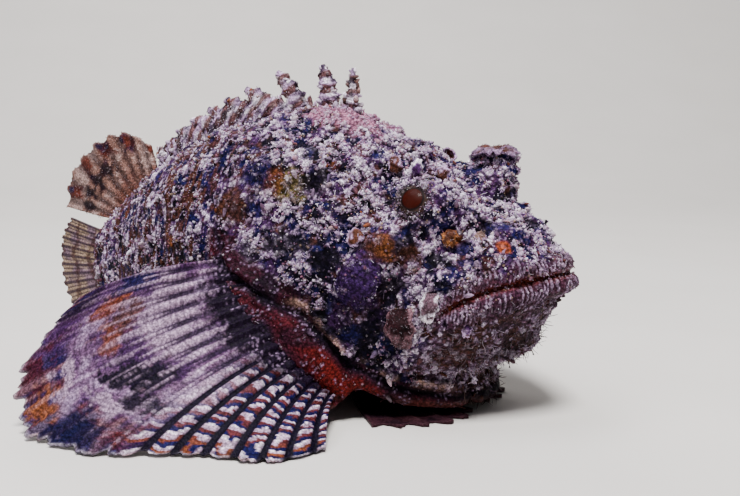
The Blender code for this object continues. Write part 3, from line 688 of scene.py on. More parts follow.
def throat_colours(parts, middle):
    """The bare skin behind the gill cover: maroon and red, dark in its folds, painted shade under the cover's
    rim, pale dots.
    """
    flat, gill, x = parts.flat, parts.gill, parts.flat[:, 0]
    dots = step(0.5, 0.75, beads(flat, 1.6, 31)) * step(-0.2, 0.3, cloud(flat, 4, 32))
    return blend(
        MAROON,
        (RED, step(-2.5, -6, gill + 2 * middle) * step(26, 44, x)),
        ((0.012, 0.006, 0.016), step(-7, -13, gill + 4 * middle) * step(50, 25, x)),
        (DARK, 0.6 * step(-1, 2, gill)),
        # Near black just under the cover's rim: painted shade in the groove there.
        (DARK, 0.9 * hill(gill + 2.0, 2.4)),
        (DARK, 0.7 * step(0.1, 0.5, cloud(flat, 8, 33))),
        (LILAC, 0.55 * dots),
    )


def skin_colours(parts, relief, hollow_shade, normals):
    """The skin's colours: dark between warts and in pits, frosted on top, the fish's marks, and painted shade
    in hollows, on the chin and low cheek.
    """
    flat, rough, gill = parts.flat, parts.rough, parts.gill
    x, y, z = flat.T
    wide, middle, fine = cloud(flat, 16, 21), cloud(flat, 6, 22), cloud(flat, 2.2, 23)
    rearward = step(20, -15, x)
    streaks = cloud(np.stack((x, y / 5, z / 5), 1), 1.7, 26) + 0.35 * fine
    chin = step(-2, -9, parts.mouth) * step(70, 80, x)
    # Less frost in hollows as well: painted shade.
    frost = relief.height + 0.10 * wide + 0.08 * middle + 0.10 * fine - 0.10 * hollow_shade
    frost += rearward * (0.16 - 0.35 * step(0.0, 0.35, np.abs(streaks)))
    pit = blend(DARK, (DEEP_BLUE, step(-0.2, 0.2, middle)))
    lid = np.array((0.026, 0.014, 0.014)) * (0.3 + 2 * beads(flat, 1.4, 28))[:, None]
    colours = blend(
        DARK,
        (PLUM, 0.9 * step(-0.3, 0.5, middle + 0.5 * fine)),
        (RUST, 0.8 * step(0.15, 0.5, cloud(flat, 5, 24) + 0.4 * fine)),
        (DEEP_BLUE, 0.8 * step(0.1, 0.4, cloud(flat, 4, 25) - 0.3 * fine)),
        (RUST, 0.9 * rearward * step(0.2, 0.5, streaks)),
        ((0.12, 0.055, 0.05), 0.5 * chin),
        (LILAC, step(0.30, 0.50, frost) * (0.5 + 0.5 * rough)),
        (FROST, 0.9 * step(0.44, 0.66, frost) * (0.35 + 0.65 * rough)),
        (pit, 0.9 * parts.pits),
        (lid, 0.85 * step(8.5, 5.0, parts.pupil)),
    )
    for mark in MARKS:
        share = mark.strength * step(0.2, 0.6, mark_share(flat, parts.warped, mark) + 0.18 * fine)
        mottle = (0.55 + 0.9 * beads(flat, 2.0, 27) * (0.4 + 0.6 * mark.coat))[:, None]
        share *= 1 - 0.7 * step(0.42, 0.65, frost) * mark.coat
        colours = blend(colours, (np.array(mark.colour) * mottle, share))

    lip = blend((0.060, 0.020, 0.038), ((0.40, 0.28, 0.42), step(0.3, 0.9, relief.comb)))
    rim = hill(gill - 0.9, 0.9) * step(15, 30, x) * step(90, 80, x) * step(6, 10, np.abs(y))
    under = step(12, 3, z) * (normals[:, 2] < -0.1)
    colours = blend(
        colours,
        (lip, parts.lips * 0.85),
        ((0.15, 0.024, 0.014), hill(parts.mouth, 1.3) * step(86, 92, x)),
        (throat_colours(parts, middle), parts.throat),
        ((0.60, 0.36, 0.28), 0.8 * rim * step(-0.3, 0.3, middle)),
        (BELLY, 0.8 * under * (1 - 0.7 * parts.throat)),
    )
    # Painted shade: darker under the chin, on the lower cheek and in hollows.
    shaded_cheek = step(52, 40, z) * step(80, 70, x) * step(20, 34, x) * (1 - parts.throat)
    shade = (1 - 0.4 * chin) * (1 - 0.35 * shaded_cheek) * (1 - 0.6 * np.clip(hollow_shade, 0, 1))
    return colours * shade[:, None]


Skin = namedtuple("Skin", "points corners normals colours parts relief")


def make_skin():
    """Grows, smooths, sinks, shapes and paints the skin."""
    points, corners = largest_part(*flesh_mesh())
    edges = face_edges(corners)
    points = smoothed(points, edges, SKIN_SMOOTHING)
    normals = vertex_normals(points, corners)
    if normals[points[:, 2].argmax(), 2] < 0:
        corners, normals = corners[:, ::-1], -normals
    points = open_lids(points - COAT_DEPTH * normals)
    parts = skin_parts(points, normals)
    relief = skin_relief(parts)
    points = points + relief.rise[:, None] * normals
    points[:, 2] = np.maximum(points[:, 2], FLOOR_GAP)
    # How far each point lies down in a hollow, for the painted shade there.
    softened = smoothed(points, edges, CAVITY_SMOOTHING)
    normals = vertex_normals(points, corners)
    hollow_shade = np.clip(np.einsum("ij,ij->i", softened - points, normals) / 0.4, -1, 1)
    colours = skin_colours(parts, relief, hollow_shade, normals)
    material = surface_material("skin", "skin")
    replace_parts(new_piece("skin", points, corners, colours, material, "skin"), *FLESH)
    return Skin(points, corners, normals, colours, parts, relief)


MAP_LENGTH, MAP_HEIGHT = 280, 45


def root_map(points):
    """Places on an unwrap of the body's own shape: along it, and round it."""
    x, y, z = straightened(points).T
    return np.stack((x / MAP_LENGTH + 0.5, np.arctan2(z - MAP_HEIGHT, y) / (2 * np.pi) + 0.5), 1)


# Growths: how thick they are at shares of their length, the size of one on the unwrap, and the most
# triangles that a piece of them may have.
STRAND = [(0, 1.0), (0.25, 1.0), (0.5, 0.9), (0.75, 0.75), (1, 0.3)]
GRANULE = [(0, 1.0), (0.6, 0.85), (1, 0.35)]
LEAF = [(0, 0.5), (0.3, 1.0), (0.6, 0.9), (0.85, 0.6), (1, 0.15)]
PATCH = 0.003
PIECE_TRIANGLES = 190000


def tube_faces(rings, sides):
    """Triangles between rings of points."""
    corners = np.arange(rings * sides).reshape(rings, sides)
    low, high = corners[:-1], corners[1:]
    low_next, high_next = np.roll(low, -1, axis=1), np.roll(high, -1, axis=1)
    return np.stack((low, low_next, high_next, low, high_next, high), -1).reshape(-1, 3)


def capped_tube_faces(rings, sides):
    """Triangles between rings of points, and a flat cap over the last ring."""
    top = (rings - 1) * sides
    cap = [(top, top + k, top + k + 1) for k in range(1, sides - 1)]
    return np.concatenate((tube_faces(rings, sides), cap))


def random_shapes(chance, count, lengths, radii, leans, curls):
    """Random lengths, radii, leans and curls of growths, each within its range."""
    return [chance.uniform(low, high, count) for low, high in (lengths, radii, leans, curls)]


def make_growths(name, roots, normals, shapes, shaded_root_colours, tip_colours, profile, sides, look, chance):
    """Small solid growths on roots, darker at their roots as painted shade, joined into pieces that each stay
    under the limit.
    """
    lengths, radii, leans, curls = shapes
    material, slot = look
    count = len(roots)
    aside = unit(np.cross(normals, chance.normal(size=(count, 3))))
    across = np.cross(normals, aside)
    direction = normals * np.cos(leans)[:, None] + aside * np.sin(leans)[:, None]
    upright = np.cross(direction, across)
    wiggle = chance.uniform(-0.25, 0.25, count)
    rings, shades, uvs = [], [], []
    patch = root_map(roots)
    for t, width in profile:
        path = t * direction + (curls * t * t)[:, None] * aside + (wiggle * np.sin(5 * t))[:, None] * across
        middle = roots - 0.25 * normals + lengths[:, None] * path
        for k in range(sides):
            angle = 2 * math.pi * k / sides
            offset = math.cos(angle) * across + math.sin(angle) * upright
            rings.append(middle + (radii * width)[:, None] * offset)
            # The darker roots are painted shade where each growth meets the surface.
            shades.append(shaded_root_colours * (1 - t) + tip_colours * t)
            uvs.append(patch + PATCH * np.array((k / sides - 0.5, t - 0.5)))
    points, colours, uv = (np.stack(parts, 1) for parts in (rings, shades, uvs))
    faces = capped_tube_faces(len(profile), sides)
    size = PIECE_TRIANGLES // len(faces)
    for number, first in enumerate(range(0, count, size)):
        part = slice(first, first + size)
        starts = np.arange(len(points[part]))[:, None, None] * len(rings)
        joined = (points[part].reshape(-1, 3), (faces + starts).reshape(-1, 3), colours[part].reshape(-1, 3))
        new_piece(f"{name}_{number + 1}", *joined, material, slot, uv[part].reshape(-1, 2))


def scattered(points, corners, weights, count, chance):
    """Seeded random places on a mesh, by area and weight, and the first corners of their faces."""
    a, c = points[corners[:, 0]], points[corners[:, 2]]
    b, d = points[corners[:, 1]], points[corners[:, -1]]
    area = np.linalg.norm(np.cross(c - a, d - b), axis=1)
    weight = area * weights[corners].mean(axis=1)
    chosen = chance.choice(len(corners), count, p=weight / weight.sum())
    u, v = chance.uniform(size=(2, count, 1))
    near_side = a[chosen] * (1 - u) + b[chosen] * u
    far_side = d[chosen] * (1 - u) + c[chosen] * u
    return near_side * (1 - v) + far_side * v, corners[chosen, 0]


# The kinds of growth in the coat, with the range of each measure.
PALES = (FROST, FROST, LILAC, LILAC, PINK, BEIGE)
DULLS = (FROST, LILAC, (0.22, 0.15, 0.22), (0.10, 0.06, 0.10))
LEAVES, HAIRS = DULLS + (ORANGE, RUST), (FROST, BEIGE)
Coat = namedtuple("Coat", "name count lengths radii leans curls tints paleness profile sides")
COATS = [
    Coat("granules", 26500, (0.4, 0.8), (0.2, 0.42), (0, 0.6), (0, 0), PALES, (0.1, 1), GRANULE, 4),
    Coat("beads", 8000, (0.5, 1.3), (0.42, 0.75), (0, 0.6), (0, 0), PALES, (0.0, 0.9), GRANULE, 4),
    Coat("curls", 14000, (0.6, 1.7), (0.16, 0.3), (0.7, 1.5), (-0.9, 0.9), DULLS, (0.3, 1), STRAND, 3),
    Coat("flaps", 1100, (1.2, 2.8), (0.5, 1.1), (0.5, 1.4), (-0.5, 0.5), LEAVES, (0.3, 0.9), LEAF, 5),
    Coat("lids", 900, (0.3, 0.8), (0.2, 0.4), (0, 0.8), (0, 0), DULLS, (0.2, 1), GRANULE, 4),
    Coat("chin_hairs", 320, (2.0, 4.5), (0.13, 0.2), (0.2, 0.9), (-0.4, 0.4), HAIRS, (0.5, 1), STRAND, 3),
]
COAT_FLOOR = 5


def make_coat(skin):
    """Granules and curling filaments over the skin, thick on the warts of head and back."""
    chance = np.random.default_rng(SEED)
    look = surface_material("frost", "coat"), "skin"
    parts, flat, rough = skin.parts, skin.parts.flat, skin.parts.rough
    x, _, z = flat.T
    growing = rough * (parts.pupil > 5.1) * (skin.points[:, 2] > COAT_FLOOR)
    tops = step(0.30, 0.48, skin.relief.height + 0.08 * cloud(flat, 5, 41) + 0.05 * cloud(flat, 16, 21))
    weights = {
        "granules": growing * (0.14 + tops),
        "beads": growing * (0.05 + tops),
        "curls": growing * (0.04 + tops) * (0.1 + 0.9 * step(-10, 30, x)),
        "flaps": growing * tops,
        "lids": (parts.pupil > 5.0) * step(9.5, 7.0, parts.pupil),
        "chin_hairs": step(-4, -9, parts.mouth) * step(84, 92, x) * step(40, 30, z),
    }
    # Coat tips kept less pale under the chin and on the lower cheek: painted shade, as on the skin.
    below = step(-2, -9, parts.mouth) * step(70, 80, x)
    shaded_cheek = step(54, 40, z) * step(20, 34, x) * step(80, 70, x)
    pale_share = (0.35 + 0.65 * rough) * (1 - 0.6 * below) * (1 - 0.5 * shaded_cheek)
    for coat in COATS:
        place, corner = scattered(skin.points, skin.corners, weights[coat.name], coat.count, chance)
        shade = skin.colours[corner]
        tint = np.array(coat.tints)[chance.integers(len(coat.tints), size=coat.count)]
        paleness = chance.uniform(*coat.paleness, coat.count) * pale_share[corner]
        tips = shade + (tint - shade) * paleness[:, None]
        shapes = random_shapes(chance, coat.count, coat.lengths, coat.radii, coat.leans, coat.curls)
        normals, form = skin.normals[corner], (coat.profile, coat.sides)
        # Roots at half the skin's colour: painted shade at the base of each growth.
        make_growths(coat.name, place, normals, shapes, shade * 0.5, tips, *form, look, chance)


def make_fringe(name, mesh, count, lengths, slot, chance, paleness):
    """Short filaments on a piece that isn't the skin."""
    points, faces, colours = mesh
    place, corner = scattered(points, faces, np.ones(len(points)), count, chance)
    shade = colours[corner]
    shapes = random_shapes(chance, count, lengths, (0.15, 0.3), (0.2, 1.0), (-0.4, 0.4))
    tips = blend(shade * 1.3, (FROST, paleness * chance.uniform(0.1, 0.9, count)))
    look = surface_material(name, "fringe"), slot
    normals = vertex_normals(points, faces)[corner]
    # Roots at 0.8 of the colour beneath: painted shade at the base of each filament.
    make_growths(name, place, normals, shapes, shade * 0.8, tips, STRAND, 3, look, chance)


# Thin flaps of skin on the straight fish: root, the way to the tip, facing, width, colours inside and at
# the rim, and whether they are on both sides.
PADDLE = ((0.018, 0.006, 0.008), (0.16, 0.08, 0.10))
TURRET = (RUST, (0.22, 0.14, 0.24))
Flap = namedtuple("Flap", "root reach facing width inner rim both")
FLAPS = [
    Flap((76, -40.5, 44), (1.5, -2.5, -13), (0.1, -1, 0.1), 11.5, *PADDLE, True),
    Flap((86.5, -36, 50), (-0.5, -3.5, -9.5), (0.3, -1, 0), 6.5, (0.10, 0.055, 0.075), FROST, True),
    Flap((89.5, -27.5, 71), (0.5, -3, -4.5), (0.2, -1, 0.5), 5.5, BROWN, (0.24, 0.09, 0.03), True),
    Flap((99, -21.5, 70), (-1, -3, -3.5), (0.3, -1, 0.5), 4.5, (0.22, 0.13, 0.11), LILAC, True),
    Flap((66, -24, 90), (-2, -1.5, 5.5), (0, -1, 0.2), 5, RUST, LILAC, True),
    Flap((74, -25, 89.5), (1, -1.5, 5), (0, -1, 0.2), 4.5, PLUM, FROST, True),
    Flap((83, -25, 88), (3.5, -1.5, 4), (0.2, -1, 0.2), 5, RUST, LILAC, True),
    Flap((83, 25, 94), (8.0, -3, 2.5), (-0.2, -0.4, 1), 7, *TURRET, False),
    Flap((83, 25, 95), (1.5, -6.5, 1.5), (0, -0.2, 1), 8, *TURRET, False),
    Flap((83, 25, 94), (-7.5, -3, 2), (0.2, -0.4, 1), 7, *TURRET, False),
    Flap((83, 26, 94.5), (2, 7, 1), (0, 0.3, 1), 8, *TURRET, False),
    Flap((60, -42, 70), (-4, -3, -3), (0, -1, 0.4), 6, BROWN, LILAC, True),
    Flap((96, -26, 40), (1, -3.5, -5), (0.4, -1, 0), 4, PLUM, LILAC, True),
]
FLAP_COLUMNS, FLAP_ROWS, FLAP_HALF, FLAP_PATCH = 15, 19, 0.35, 0.01


def flap_surface(flap, number, share, t):
    """A place on a flap: share across it, t from its root to its tip."""
    share, t = np.broadcast_arrays(share, t)
    length = np.linalg.norm(flap.reach)
    down = np.array(flap.reach) / length
    sideways = unit(np.cross(down, flap.facing))
    half_width = 0.5 * flap.width * np.sin(np.pi * np.clip(0.15 + 0.8 * t, 0, 1)) ** 0.6
    aside = (2 * share - 1) * half_width * (1 + 0.12 * np.sin(15 * t + number))
    bulge = length * (0.24 * np.sin(np.pi * t) - 0.2 * t * t)
    bulge += 0.35 * np.sin(9 * t + 7 * share + number) - 0.9 * (2 * share - 1) ** 2
    offset = down * (length * t)[..., None] + sideways * aside[..., None]
    return np.array(flap.root, float) + offset + np.cross(sideways, down) * bulge[..., None]


def slab_places(shares, reaches):
    """The share and reach of every point of a slab."""
    return (np.tile(grid.ravel(), 2) for grid in np.meshgrid(shares, reaches, indexing="ij"))


def make_flaps():
    """The thin flaps of the face, joined, with short growths on them."""
    chance = np.random.default_rng(SEED + 3)
    points, faces, colours, uvs = [], [], [], []
    shares, reaches = np.linspace(0, 1, FLAP_COLUMNS), np.linspace(0, 1, FLAP_ROWS)
    share, t = slab_places(shares, reaches)
    for number, flap in enumerate(FLAPS):
        surface = partial(flap_surface, flap, number)
        places, triangles = slab(surface, shares, reaches, lambda share, reach: FLAP_HALF)
        rim = step(0.65, 0.95, np.maximum(np.abs(2 * share - 1), t) + 0.35 * cloud(places, 1.6, 91))
        shades = blend(flap.inner, (flap.rim, rim))
        shades *= (1 + 0.5 * cloud(places, 1.2, 92) + 0.6 * cloud(places, 3.2, 93))[:, None]
        for sign in (1, -1) if flap.both else (1,):
            placed = bent(places * (1, sign, 1))
            faces.append((triangles if sign == 1 else triangles[:, ::-1]) + sum(len(part) for part in points))
            points.append(placed)
            colours.append(shades)
            uvs.append(root_map(placed.mean(0)[None]) + FLAP_PATCH * np.stack((share - 0.5, t - 0.5), 1))
    points, faces, colours, uvs = (np.concatenate(parts) for parts in (points, faces, colours, uvs))
    material = surface_material("flap", "flap")
    new_piece("face_flaps", points, faces, colours, material, "skin", uvs)
    make_fringe("flap_fringe", (points, faces, colours), 2600, (0.3, 1.0), "skin", chance, 0.25)


def fin_ridge(fin, share, reach):
    """1 on the rays of a fin and 0 between them; rays of the breast fin fork towards its edge."""
    rays = share * (fin.rays - 1)
    ridge = wave(rays) ** 1.5
    if fin is not PECTORAL:
        return ridge
    low = step(0.5, 0.62, share)
    forked = wave(2 * rays) ** 1.2
    upper = np.maximum(ridge, 0.85 * forked * step(0.25, 0.5, reach))
    return upper * (1 - low) + step(0.06, 0.5, wave(rays)) * low


RAY_COLUMNS, FIN_ROWS, PECTORAL_ROWS = 8, 56, 140


def fin_piece(name, fin, colour_of, slot="fin", mirror=False, rows=FIN_ROWS):
    """A fin of raised rays over a thin membrane, with its colour given by share and reach."""
    shares = np.linspace(0, 1, (fin.rays - 1) * RAY_COLUMNS + 1)
    reaches = np.linspace(-0.05, 1, rows)

    def half(share, reach):
        ray = fin.root_ridge + (fin.tip_ridge - fin.root_ridge) * np.maximum(0, reach)
        if fin is PECTORAL:
            coarse = np.sin(2 * np.pi * (13 * reach + 0.2 * np.sin(40 * share))) * step(0.5, 0.7, share)
            fine = np.sin(2 * np.pi * (40 * reach + np.sin(90 * share))) * step(0.7, 0.5, share)
            ray = ray * (1 + 0.2 * coarse + 0.12 * fine)
        return fin.membrane + fin_ridge(fin, share, reach) * (ray - fin.membrane)

    def surface(share, reach):
        place = fan(fin, share, reach)
        uneven = 0.5 + 0.5 * np.sin(share * 491 + 3 * np.sin(share * 137))
        ragged = 0.035 * np.maximum(0, reach) ** 10 * uneven
        return place + (fan(fin, share, 0 * reach) - place) * ragged[..., None]

    points, faces = slab(surface, shares, reaches, half)
    share, reach = slab_places(shares, reaches)
    colours = colour_of(share, reach, points, fin)
    points[:, 1] *= -1 if mirror else 1
    points = bent(points, tail=fin is not PECTORAL)
    faces = faces[:, ::-1] if mirror else faces
    material = surface_material(name, "fin")
    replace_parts(new_piece(name + "_skin", points, faces, colours, material, slot), name)
    return points, faces, colours


# Blotches of the breast fin: share across the rays, reach, their half widths, colour and strength.
BLOTCHES = [
    (0.22, 0.34, 0.20, 0.13, SHELL, 0.7),
    (0.10, 0.64, 0.05, 0.09, (0.20, 0.045, 0.014), 0.95),
    (0.23, 0.58, 0.06, 0.07, (0.18, 0.045, 0.016), 0.9),
    (0.17, 0.52, 0.05, 0.07, BROWN, 0.9),
    (0.04, 0.56, 0.05, 0.14, DEEP_BLUE, 0.95),
    (0.40, 0.54, 0.11, 0.08, DARK, 1.0),
    (0.36, 0.60, 0.04, 0.05, DARK, 1.0),
    (0.31, 0.50, 0.07, 0.06, PLUM, 0.95),
    (0.51, 0.66, 0.07, 0.06, DARK, 0.97),
    (0.10, 0.86, 0.12, 0.14, PLUM, 0.9),
    (0.22, 0.93, 0.07, 0.08, MAROON, 0.9),
    (0.34, 0.89, 0.06, 0.08, ORANGE, 0.9),
    (0.43, 0.93, 0.08, 0.12, (0.006, 0.006, 0.035), 0.97),
    (0.05, 0.90, 0.05, 0.12, DARK, 0.8),
    (0.55, 0.91, 0.04, 0.07, RED, 0.9),
    (0.28, 0.79, 0.06, 0.04, SHELL, 0.7),
    (0.42, 0.73, 0.07, 0.04, SHELL, 0.7),
]


def ray_jitter(rays):
    """A number from 0 to 1 for each ray."""
    number = np.round(rays).astype(int)
    return lattice(np.stack((number, number, number), -1), 5)


def banded_colours(share, reach, points, fin):
    """The breast fin's lower rays: pale, ruddy and blue bands."""
    middle, fine, grit = cloud(points, 6, 52), cloud(points, 2.2, 53), cloud(points, 1.1, 54)
    drift = ray_jitter(share * (fin.rays - 1)) + 0.3 * middle
    band = ((reach * (9 + 2 * drift) + drift + 0.2 * fine + 0.12 * grit) % 1)[:, None]
    pale_width = (0.38 + 0.16 * middle)[:, None]
    ruddy = blend((0.10, 0.022, 0.026), (ORANGE, step(0.8, 0.95, reach) * 0.5))
    banded = np.where(band < pale_width, SHELL, np.where(band < pale_width + 0.3, ruddy, DEEP_BLUE))
    banded = blend(
        banded,
        (FROST, 0.8 * (band[:, 0] < 0.2) * step(-0.3, 0.3, grit)),
        (SHELL, 0.75 * hill(share - 0.56, 0.07) * hill(reach - 0.5, 0.18)),
    )
    return banded * (0.35 + 0.65 * step(0.15, 0.5, reach))[:, None]


def pectoral_colours(share, reach, points, fin):
    """Pale inner band, dark and orange middle, dark outer band with streaks; lower rays banded."""
    ray = fin_ridge(fin, share, reach)
    middle, fine, grit = cloud(points, 6, 52), cloud(points, 2.2, 53), cloud(points, 1.1, 54)
    t, s = reach + 0.05 * middle + 0.03 * grit, share + 0.02 * fine
    streak = cloud(np.stack((share * 90, reach * 9, 0 * share), 1), 1.0, 55)
    edge = blend(
        MAROON,
        (np.array(ORANGE) * 0.8, step(0.1, 0.5, streak)),
        (DEEP_BLUE, step(-0.1, 0.3, -streak)),
    )
    colours = blend(
        (0.17, 0.085, 0.18),
        (PLUM, 0.9 * step(-0.2, 0.4, middle + 0.4 * streak)),
        (LILAC, 0.8 * step(0.0, 0.5, -middle + 0.5 * streak)),
        (edge, 0.85 * step(0.74, 0.84, t)),
    )
    for place, out, wide, long, colour, strength in BLOTCHES:
        close = hill(s - place, wide) * hill(t - out, long)
        colours = blend(colours, (colour, strength * step(0.25, 0.6, close + 0.25 * fine + 0.2 * streak)))
    pale = (0.15 + 0.6 * step(0.75, 0.3, reach)) * step(0.3, 0.8, ray) * step(-0.3, 0.4, streak + 0.5 * grit)
    colours = blend(colours, (SHELL, pale))
    notches = wave(reach * 40 + ray_jitter(share * (fin.rays - 1) * 2) + 0.3 * fine) ** 2
    colours *= 1 - 0.5 * notches[:, None]
    low = step(0.48, 0.62, share)
    dots = 0.6 * step(0.45, 0.75, beads(points, 1.7, 56)) * step(-0.2, 0.2, middle)
    base_reach = 0.10 + 0.12 * np.sin(np.pi * share)
    colours = blend(
        colours,
        ((0.014, 0.006, 0.022), 0.95 * step(0.5, 0.1, ray) * step(0.12, 0.25, reach)),
        (DARK, low * step(0.6, 0.2, ray)),
        (banded_colours(share, reach, points, fin), low * step(0.25, 0.6, ray)),
        (FROST, 0.3 * step(0.975, 1.0, reach) * ray),
        (blend((0.008, 0.004, 0.012), (LILAC, dots)), step(0.05, -0.05, t - base_reach)),
    )
    return colours * (1 + 0.3 * grit)[:, None]


def dorsal_colours(share, reach, points, fin):
    """A pale ruddy fin with dark red blotches at its edge, a dark bar and a ruddy root."""
    ray = fin_ridge(fin, share, reach)
    middle, fine, grit = cloud(points, 6, 57), cloud(points, 2.4, 58), cloud(points, 1.1, 59)
    bars = hill(reach - 0.55 - 0.15 * fine, 0.10) * step(0.35, 0.55, share) * step(0.95, 0.8, share)
    bars = np.maximum(bars, hill(reach - 0.5, 0.16) * hill(share - 0.93, 0.07))
    blotches = step(0.35, 0.7, wave(share * 4.5 + 0.25 * middle) + 0.25 * fine)
    blotches *= step(0.62, 0.78, reach + 0.1 * fine) * step(1.04, 0.93, reach)
    colours = blend(
        (0.20, 0.105, 0.085),
        ((0.34, 0.23, 0.21), 0.9 * step(-0.1, 0.5, middle + 0.4 * grit)),
        ((0.10, 0.030, 0.022), 0.8 * step(0.45, 0.05, reach + 0.15 * fine)),
        ((0.016, 0.006, 0.008), 0.95 * step(0.3, 0.7, bars + 0.2 * grit)),
        ((0.085, 0.014, 0.008), 0.95 * blotches),
        ((0.012, 0.010, 0.040), 0.9 * blotches * step(0.1, 0.45, -middle + 0.5 * fine)),
        (DARK, 0.5 * step(0.5, 0.1, ray) * step(0.1, 0.3, reach)),
    )
    return colours * (1 + 0.35 * grit + 0.2 * ray)[:, None]


def tail_colours(share, reach, points, fin):
    """Dark rays that fork, over a pale membrane with dark blotches."""
    middle, fine, grit = cloud(points, 7, 75), cloud(points, 2.4, 76), cloud(points, 1.1, 77)
    forked = wave(2 * share * (fin.rays - 1))
    ray = np.maximum(fin_ridge(fin, share, reach), forked * step(0.35, 0.6, reach))
    bars = wave(reach * 3.0 + 0.3 * middle)
    colours = blend(
        (0.34, 0.24, 0.17),
        ((0.20, 0.13, 0.17), step(-0.2, 0.4, middle + 0.3 * fine)),
        ((0.030, 0.016, 0.030), 0.9 * step(0.45, 0.8, ray + 0.15 * grit)),
        ((0.05, 0.018, 0.016), 0.75 * step(0.7, 0.95, bars + 0.2 * fine)),
    )
    return colours * (1 + 0.35 * grit)[:, None]


def shaded_under_colours(share, reach, points, fin):
    """The fins under the fish: dull dark red, faintly barred, made near black by painted shade from the body
    above.
    """
    ray = wave(share * (fin.rays - 1))
    wide, middle = cloud(points, 9, 79), cloud(points, 3.5, 80)
    light, dark = (0.06, 0.022, 0.03), (0.010, 0.005, 0.010)
    return blend(
        (0.03, 0.010, 0.016),
        (light, step(0.0, 0.5, wide + 0.4 * middle) * 0.7 + 0.15 * ray),
        (dark, step(0.15, 0.5, -wide - 0.3 * middle) * 0.9),
        (dark, 0.7 * step(0.7, 0.95, wave(reach * 3.0 + 0.15 * middle))),
        (light, 0.5 * step(0.95, 1, reach) + 0.15 * ray),
    )


def lumpy_tubes(paths, breadths, radii, sides, rings, chance):
    """Flattened, tapered and lobed tubes, as points, triangles and reach along each."""
    points, faces, reaches = [], [], []
    ring_reaches = np.linspace(0, 1, rings)
    for number, (path, breadth) in enumerate(zip(paths, breadths)):
        line = along(path, ring_reaches)
        across = unit(np.cross(unit(np.gradient(line, axis=0)), (0, 1.0, 0)))
        for place, aside, t in zip(line, across, ring_reaches):
            jagged = 1 + 0.14 * math.sin(2 * math.pi * t * 4.5 + 9 * breadth) + chance.uniform(-0.16, 0.16)
            width = breadth * jagged * np.interp(t, np.linspace(0, 1, len(radii)), radii)
            angle = 2 * np.pi * (np.arange(sides) / sides) + chance.uniform(-0.3, 0.3)
            uneven = width * chance.uniform(0.85, 1.2, sides)
            sway = 0.7 * breadth * math.sin(7 * t + 13 * breadth) * (1 - t)
            ring = place + (uneven * np.cos(angle) + sway)[:, None] * aside
            points.append(ring + (0.5 * uneven * np.sin(angle))[:, None] * np.array((0, 1.0, 0)))
            reaches.append(np.full(sides, t))
        faces.append(capped_tube_faces(rings, sides)[:, [0, 2, 1]] + number * rings * sides)
    return np.concatenate(points), np.concatenate(faces), np.concatenate(reaches)


def spine_web(share, reach):
    """A place on the ragged web of skin between the spines."""
    place = spine_wall(share, reach)
    roots = np.array([(x - WALL_START) / (WALL_END - WALL_START) for x, _, _ in SPINES])
    nearest = np.min(np.abs(share[..., None] - roots), axis=-1)
    low = 0.05 + 0.5 * step(0.28, 0.5, share)
    top = 1.3 - 14 * nearest + 0.25 * np.sin(share * 190 + 2 * np.sin(share * 61))
    place[..., 2] += WALL_HEIGHT * np.maximum(0, reach) * (np.clip(top, low, 1.4) - 1) - 1.0
    return place


def make_spine_lobes(paths, chance):
    """Small leaves of skin up both edges of each spine."""
    roots, normals, sizes = [], [], []
    for path, t, forward in itertools.product(paths, np.linspace(0.1, 0.92, 10), (-1, 1)):
        roots.append(along(path, t)[0] + (forward * (2.8 - 2.2 * t), chance.uniform(-1.0, 1.0), 0))
        normals.append((forward * chance.uniform(0.5, 1.4), chance.uniform(-0.4, 0.4), 1.0))
        sizes.append(1 - 0.6 * t)
    sizes = np.array(sizes)
    count = len(sizes)
    shade = np.array((LILAC, BROWN, ORANGE, FROST))[chance.choice(4, count, p=(0.35, 0.4, 0.1, 0.15))]
    leans, curls = chance.uniform(0, 0.5, count), chance.uniform(-0.3, 0.3, count)
    shapes = (4.0 * sizes, 1.5 * sizes, leans, curls)
    tips = blend(shade, (FROST, chance.uniform(0, 0.6, count)))
    look = surface_material("lobe", "lobe"), "spine"
    roots, normals = bent(np.array(roots)), unit(np.array(normals))
    # Roots at 0.4 of their colour: painted shade at the base of each lobe.
    make_growths("spine_lobes", roots, normals, shapes, shade * 0.4, tips, LEAF, 5, look, chance)


def make_spines():
    """The spines of the back, each in ragged skin, and the low ragged web between them."""
    chance = np.random.default_rng(SEED + 1)
    paths = []
    for x, tip_x, tip_z in SPINES:
        root, tip = np.array((x, 0, back_height(x) - 1.0)), np.array((tip_x, 0, tip_z))
        paths.append([root, (root + tip) / 2 + (0.6, 0, 0), tip])
    points, faces, reach = lumpy_tubes(paths, SPINE_BREADTHS, SPINE_PROFILE, SPINE_SIDES, SPINE_RINGS, chance)
    make_spine_lobes(paths, chance)
    shares, reaches = np.linspace(0, 1, WEB_COLUMNS), np.linspace(-0.5, 1, WEB_ROWS)
    web_points, web_faces = slab(spine_web, shares, reaches, lambda share, reach: 1.5 - 0.8 * reach)
    joined = np.concatenate((points, web_points))
    joined_faces = np.concatenate((faces, web_faces + len(points)))
    reach = np.concatenate((reach, 0.3 + 0.25 * cloud(web_points, 5, 64)))
    colours = blend(
        LILAC,
        (FROST, step(0.0, 0.5, cloud(joined, 2.5, 62))),
        ((0.11, 0.04, 0.025), 0.9 * step(0.4, 0.7, wave(reach * 3.6 + 0.2 * cloud(joined, 3, 61)))),
        (DARK, 0.85 * step(0.1, 0.4, cloud(joined, 2.6, 63))),
    )
    joined = bent(joined)
    material = surface_material("spine_skin", "spine")
    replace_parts(new_piece("spines_skin", joined, joined_faces, colours, material, "spine"), "dorsal_spines")
    return joined, joined_faces, colours


